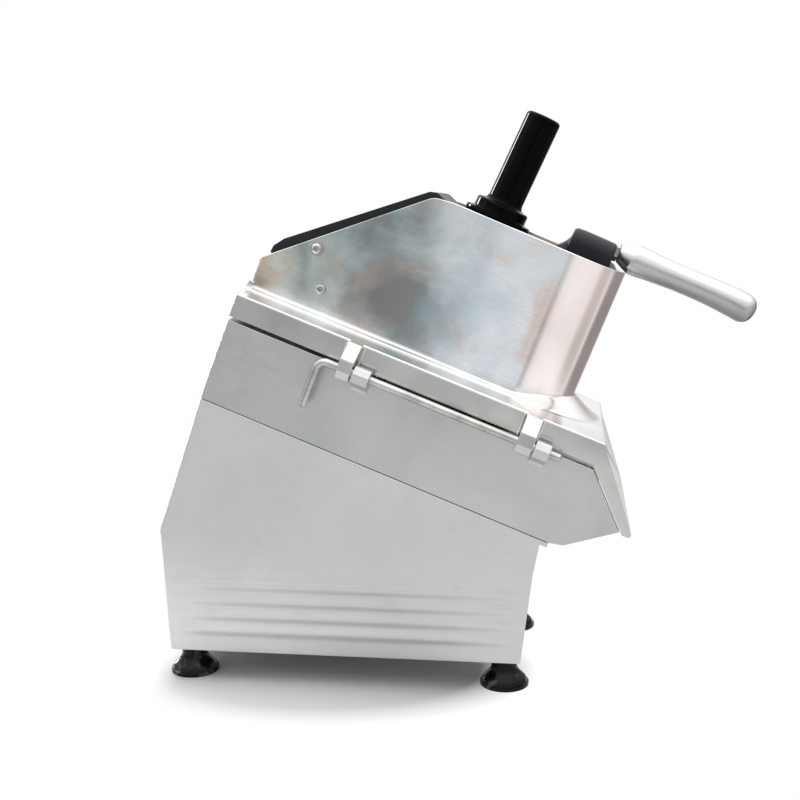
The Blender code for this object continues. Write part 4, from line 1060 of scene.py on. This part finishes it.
def build_disc():
    """The slicing disc on its hub with three blades, the ejector under it and the locking knob on it."""
    centre = shift(DISC_U)
    hub, low, high, chamfer = 0.016, 0.0785, 0.082, 0.0004
    plate = [(DISC_BORE, 0.0505), (hub - 0.0005, 0.0505), (hub, 0.051), (hub, low)]
    plate += [(DISC_RADIUS - chamfer, low), (DISC_RADIUS, low + chamfer), (DISC_RADIUS, high - chamfer)]
    plate += [(DISC_RADIUS - chamfer, high), (DISC_BORE, high)]
    edge = [(0.0005, 0.0823), (0.012, 0.0823), (0.012, 0.084), (0.0035, 0.084)]
    steps = []
    for i in range(3):
        spin = centre @ Matrix.Rotation(radians(120 * i + 30), 4, "Z")
        slot = plan_prism(rounded_rectangle(0.028, 0.094, -0.007, 0.002, 0.003), 0.07, 0.09)
        steps.append((CUT, moved(slot, spin)))
        blade = soften(end_prism(edge, 0.024, 0.097), 0.0002)
        piece(f"slicing_blade_{i + 1}", moved(blade, spin), "disc", "steel", [f"disc_blade_{i + 1}"])
    bm = worked("disc", moved(turned(plate, 128, bored=True), centre), steps)
    piece("slicing_disc", bm, "disc", "steel", ["cutting_disc"])

    ejector = [(DISC_BORE, 0.0135), (0.02, 0.0135), (0.02, 0.02), (0.1036, 0.02), (0.104, 0.0204)]
    ejector += [(0.104, 0.0246), (0.1036, 0.025), (0.022, 0.025), (0.02, 0.027), (0.02, 0.0495)]
    ejector += [(0.0195, 0.05), (DISC_BORE, 0.05)]
    steps = []
    for i in range(3):
        vane = soften(box((0.018, -0.002, 0.023), (0.102, 0.002, 0.045)), 0.0008)
        steps.append((ADD, moved(vane, centre @ Matrix.Rotation(radians(120 * i), 4, "Z"))))
    bm = worked("ejector", moved(turned(ejector, 128, bored=True), centre), steps)
    piece("ejector_disc", bm, "disc", "cast_aluminium", ["ejector_plate"])

    knob = [(DISC_BORE, 0.0823), (0.0165, 0.0823), (0.0172, 0.083), (0.0175, 0.084), (0.0175, 0.0905)]
    knob += [(0.0168, 0.0925), (0.0145, 0.0935), (0.003, 0.0935), (0.003, 0.09), (DISC_BORE, 0.0895)]
    bm = moved(turned(knob, 64, bored=True), centre)
    piece("disc_lock_knob", bm, "disc", "matte_black", ["disc_knob"])


def build_latch():
    """The latch lever, hanging from its pin, with a hook at its free end."""
    points = arc((0, 0), 0.006, 0, 180, 12)
    points += [(-0.004, -0.02), (-0.004, -0.061), (-0.002, -0.067), (0.006, -0.067), (0.0105, -0.0625)]
    points += [(0.0105, -0.0555), (0.0025, -0.0555), (0.004, -0.045)]
    outline = [(LATCH[1] + a, LATCH[2] + b) for a, b in points]
    half = 0.0095
    lever = soften(end_prism(outline, LATCH[0] - half, LATCH[0] + half), 0.0007)
    bm = worked("latch", lever, [(CUT, latch_hole())])
    piece("lid_latch", bm, "latch", "steel", ["latch_lever"])


def build_controls():
    """Stainless switch plate with two push buttons in raised collars."""
    plate = plan_prism(rounded_rectangle(-0.036, 0.036, -0.021, 0.021, 0.005), -0.0035, 0.0018)
    soften(plate, 0.0006)
    steps = []
    for side in (-1, 1):
        place = shift(side * BUTTON_SPACING / 2)
        steps.append((CUT, moved(cylinder(0.0095, -0.01, 0.01, 48), place)))
        for corner in (-1, 1):
            dimple = turned([(0.0012, 0.0012), (0.0022, 0.003)], 24)
            steps.append((CUT, moved(dimple, shift(side * 0.031, corner * 0.016))))
    bm = worked("plate", plate, steps)
    piece("switch_faceplate", moved(bm, panel_matrix()), "base", "steel", ["switch_plate"], WORLD)
    stem, radius = 0.004, 0.009
    button = [(stem, -0.018), (stem, -0.0075), (0.0115, -0.0075), (0.0115, -0.004), (radius, -0.004)]
    button += [(radius, 0.0058)] + quarter(radius, 0.0058, 0.0016, 0.0016, 5)
    button += [(0.006, 0.0072), (0.003, 0.0069)]
    for name, slot, side in (("start_button", "green_plastic", -1), ("stop_button", "red_plastic", 1)):
        bm = moved(turned(button, 48), panel_matrix() @ shift(side * BUTTON_SPACING / 2))
        piece(f"{name}_cap", bm, name, slot, [name], WORLD)


def dress_cad_nodes():
    """The CAD nodes that stay get their slot's material and finely rounded edges."""
    for part in frame["record"]["subparts"]:
        obj = frame["nodes"][part["node"]]
        obj.data.materials.clear()
        obj.data.materials.append(MATERIALS[part["material_slot"]])
        if obj.hide_render:
            continue
        edges = obj.modifiers.new("edges", "BEVEL")
        edges.width = 0.0004
        edges.segments = 2
        edges.limit_method = "ANGLE"
        edges.angle_limit = radians(50)


# ---- stage ----


def maths(tree, operation, *terms):
    """A Math node: each term is a number or a node's output."""
    made = added(tree, "Math")
    made.operation = operation
    return fill(tree, made, dict(enumerate(terms))).outputs[0]


def build_camera():
    """Seen from the hinge side, slightly from the front and above."""
    yaw, pitch, roll = radians(8.44), radians(-9.38), radians(0.77)
    turn = Matrix.Rotation(yaw, 3, "Z") @ Matrix.Rotation(pitch, 3, "X") @ Matrix.Rotation(roll, 3, "Y")
    data = bpy.data.cameras.new("camera")
    data.sensor_width = 36
    data.lens = 52.12
    data.clip_start = 0.05
    camera = bpy.data.objects.new("camera", data)
    bpy.context.scene.collection.objects.link(camera)
    right, forward, up = turn.col[0], turn.col[1], turn.col[2]
    basis = Matrix((right, up, -forward)).transposed().to_4x4()
    camera.matrix_world = Matrix.Translation((0.1143, -1.2134, 0.4814)) @ basis
    bpy.context.scene.camera = camera


def area_light(name, place, aim, size, power):
    data = bpy.data.lights.new(name, "AREA")
    data.shape = "RECTANGLE"
    data.size, data.size_y = size
    data.energy = power
    light = bpy.data.objects.new(name, data)
    bpy.context.scene.collection.objects.link(light)
    light.location = place
    light.rotation_euler = (Vector(place) - Vector(aim)).to_track_quat("Z", "Y").to_euler()
    return light


def build_world():
    """A white backdrop, and for reflections a studio: bright above, grey walls, pale walls in front. The
    walls fade out with height. Matt surfaces get only a part of its light, so that a shadow stays."""
    world = bpy.data.worlds.new("studio")
    bpy.context.scene.world = world
    world.use_nodes = True
    tree = world.node_tree
    tree.nodes.clear()
    place = added(tree, "TexCoord").outputs["Generated"]
    x, y, z = added(tree, "SeparateXYZ", Vector=place).outputs
    # From straight down, 0, past the horizon, 0.5, to straight up, 1.
    heights = [
        (0.0, 0.85), (0.4, (0.82, 0.82, 0.83)), (0.47, (0.74, 0.75, 0.76)), (0.5, (0.66, 0.67, 0.68)),
        (0.54, (0.86, 0.86, 0.87)), (0.62, 1.0), (0.78, 1.1), (0.95, 2.0),
    ]
    # All the way round: 0.25 is -X, 0.5 is -Y, where the camera is, and 0.75 is +X.
    walls = [
        (0.0, 1.0), (0.06, 0.8), (0.2, (0.45, 0.45, 0.46)), (0.4, (0.66, 0.66, 0.65)),
        (0.448, (0.74, 0.75, 0.73)), (0.462, (0.62, 0.63, 0.63)), (0.48, (0.86, 0.88, 0.9)),
        (0.496, 1.0), (0.504, (0.4, 0.41, 0.43)), (0.52, (0.4, 0.41, 0.43)),
        (0.53, (1.0, 0.96, 0.95)), (0.69, (1.0, 0.93, 0.91)), (0.72, (0.62, 0.54, 0.51)),
        (0.775, (0.62, 0.54, 0.51)), (0.79, 1.0), (0.815, (0.25, 0.22, 0.21)),
        (0.94, (0.25, 0.22, 0.21)), (0.975, 0.9), (1.0, 1.0),
    ]
    bearing = maths(tree, "ARCTAN2", x, maths(tree, "MULTIPLY", y, -1))
    around = tones(tree, ranged(tree, bearing, -pi, pi), walls)
    upwards = tones(tree, ranged(tree, z, -1, 1), heights)
    colour = mixed(tree, upwards, around, ranged(tree, z, 0.1, 0.4, 0.9, 0.1))
    seen = added(tree, "LightPath")
    strength = maths(tree, "MULTIPLY_ADD", seen.outputs["Is Diffuse Ray"], -0.82, 1.1)
    studio = added(tree, "Background", Color=colour, Strength=strength).outputs[0]
    white = added(tree, "Background", Color=(1, 1, 1, 1)).outputs[0]
    choose = fill(tree, added(tree, "MixShader"), {0: seen.outputs["Is Camera Ray"], 1: studio, 2: white})
    added(tree, "OutputWorld", Surface=choose.outputs[0])


def build_stage():
    """A pale floor that fades to plain white away from the machine, and the lamps: a broad one overhead,
    a strip at the rear, and a rim lamp that only shows as thin lines on the black gloss."""
    centre_x, centre_y, reach_x, reach_y = -0.155, -0.055, 0.195, 0.125
    floor = make_object("floor", plan_prism(circle(1.1, 96, (-0.45, -0.35)), -0.02, 0), WORLD)
    material, tree, shader = start("floor", Metallic=0.0, Specular_IOR_Level=0.1, Roughness=0.9)
    tone = tones(tree, clouds(tree, 3), [(0.3, 0.82), (0.7, 0.84)])
    fill(tree, shader, {"Base Color": tone})
    place = added(tree, "TexCoord").outputs["Object"]
    slide = (-centre_x / reach_x, -centre_y / reach_y, 0)
    footprint = added(tree, "Mapping", Vector=place, Location=slide, Scale=(1 / reach_x, 1 / reach_y, 0))
    away = fill(tree, added(tree, "VectorMath"), {0: footprint.outputs[0]})
    away.operation = "LENGTH"
    fade = ranged(tree, away.outputs["Value"], 0.92, 1.22)
    white = added(tree, "Emission").outputs[0]
    blend = fill(tree, added(tree, "MixShader"), {0: fade, 1: shader.outputs[0], 2: white})
    fill(tree, tree.nodes["Material Output"], {"Surface": blend.outputs[0]})
    floor.data.materials.append(material)
    overhead = area_light("top", (-0.1, 0.5, 2.4), (-0.1, 0, 0.1), (1.7, 1.7), 76)
    overhead.visible_glossy = False
    area_light("strip", (-1.5, -0.35, 0.9), (0, 0, 0.45), (0.12, 1.4), 1.6)
    rim = area_light("rim", (-1.3, 0.92, 0.75), (-0.02, 0, 0.5), (0.22, 1.3), 45)
    rim.visible_diffuse = False
    bpy.context.scene.view_settings.view_transform = "Standard"


build_camera()
build_world()
build_stage()
build_housing()
build_feet()
build_chamber()
build_lid()
build_lid_screws()
build_hinge_rod()
build_lever()
build_handle()
build_pusher()
build_disc()
build_latch()
build_controls()
dress_cad_nodes()
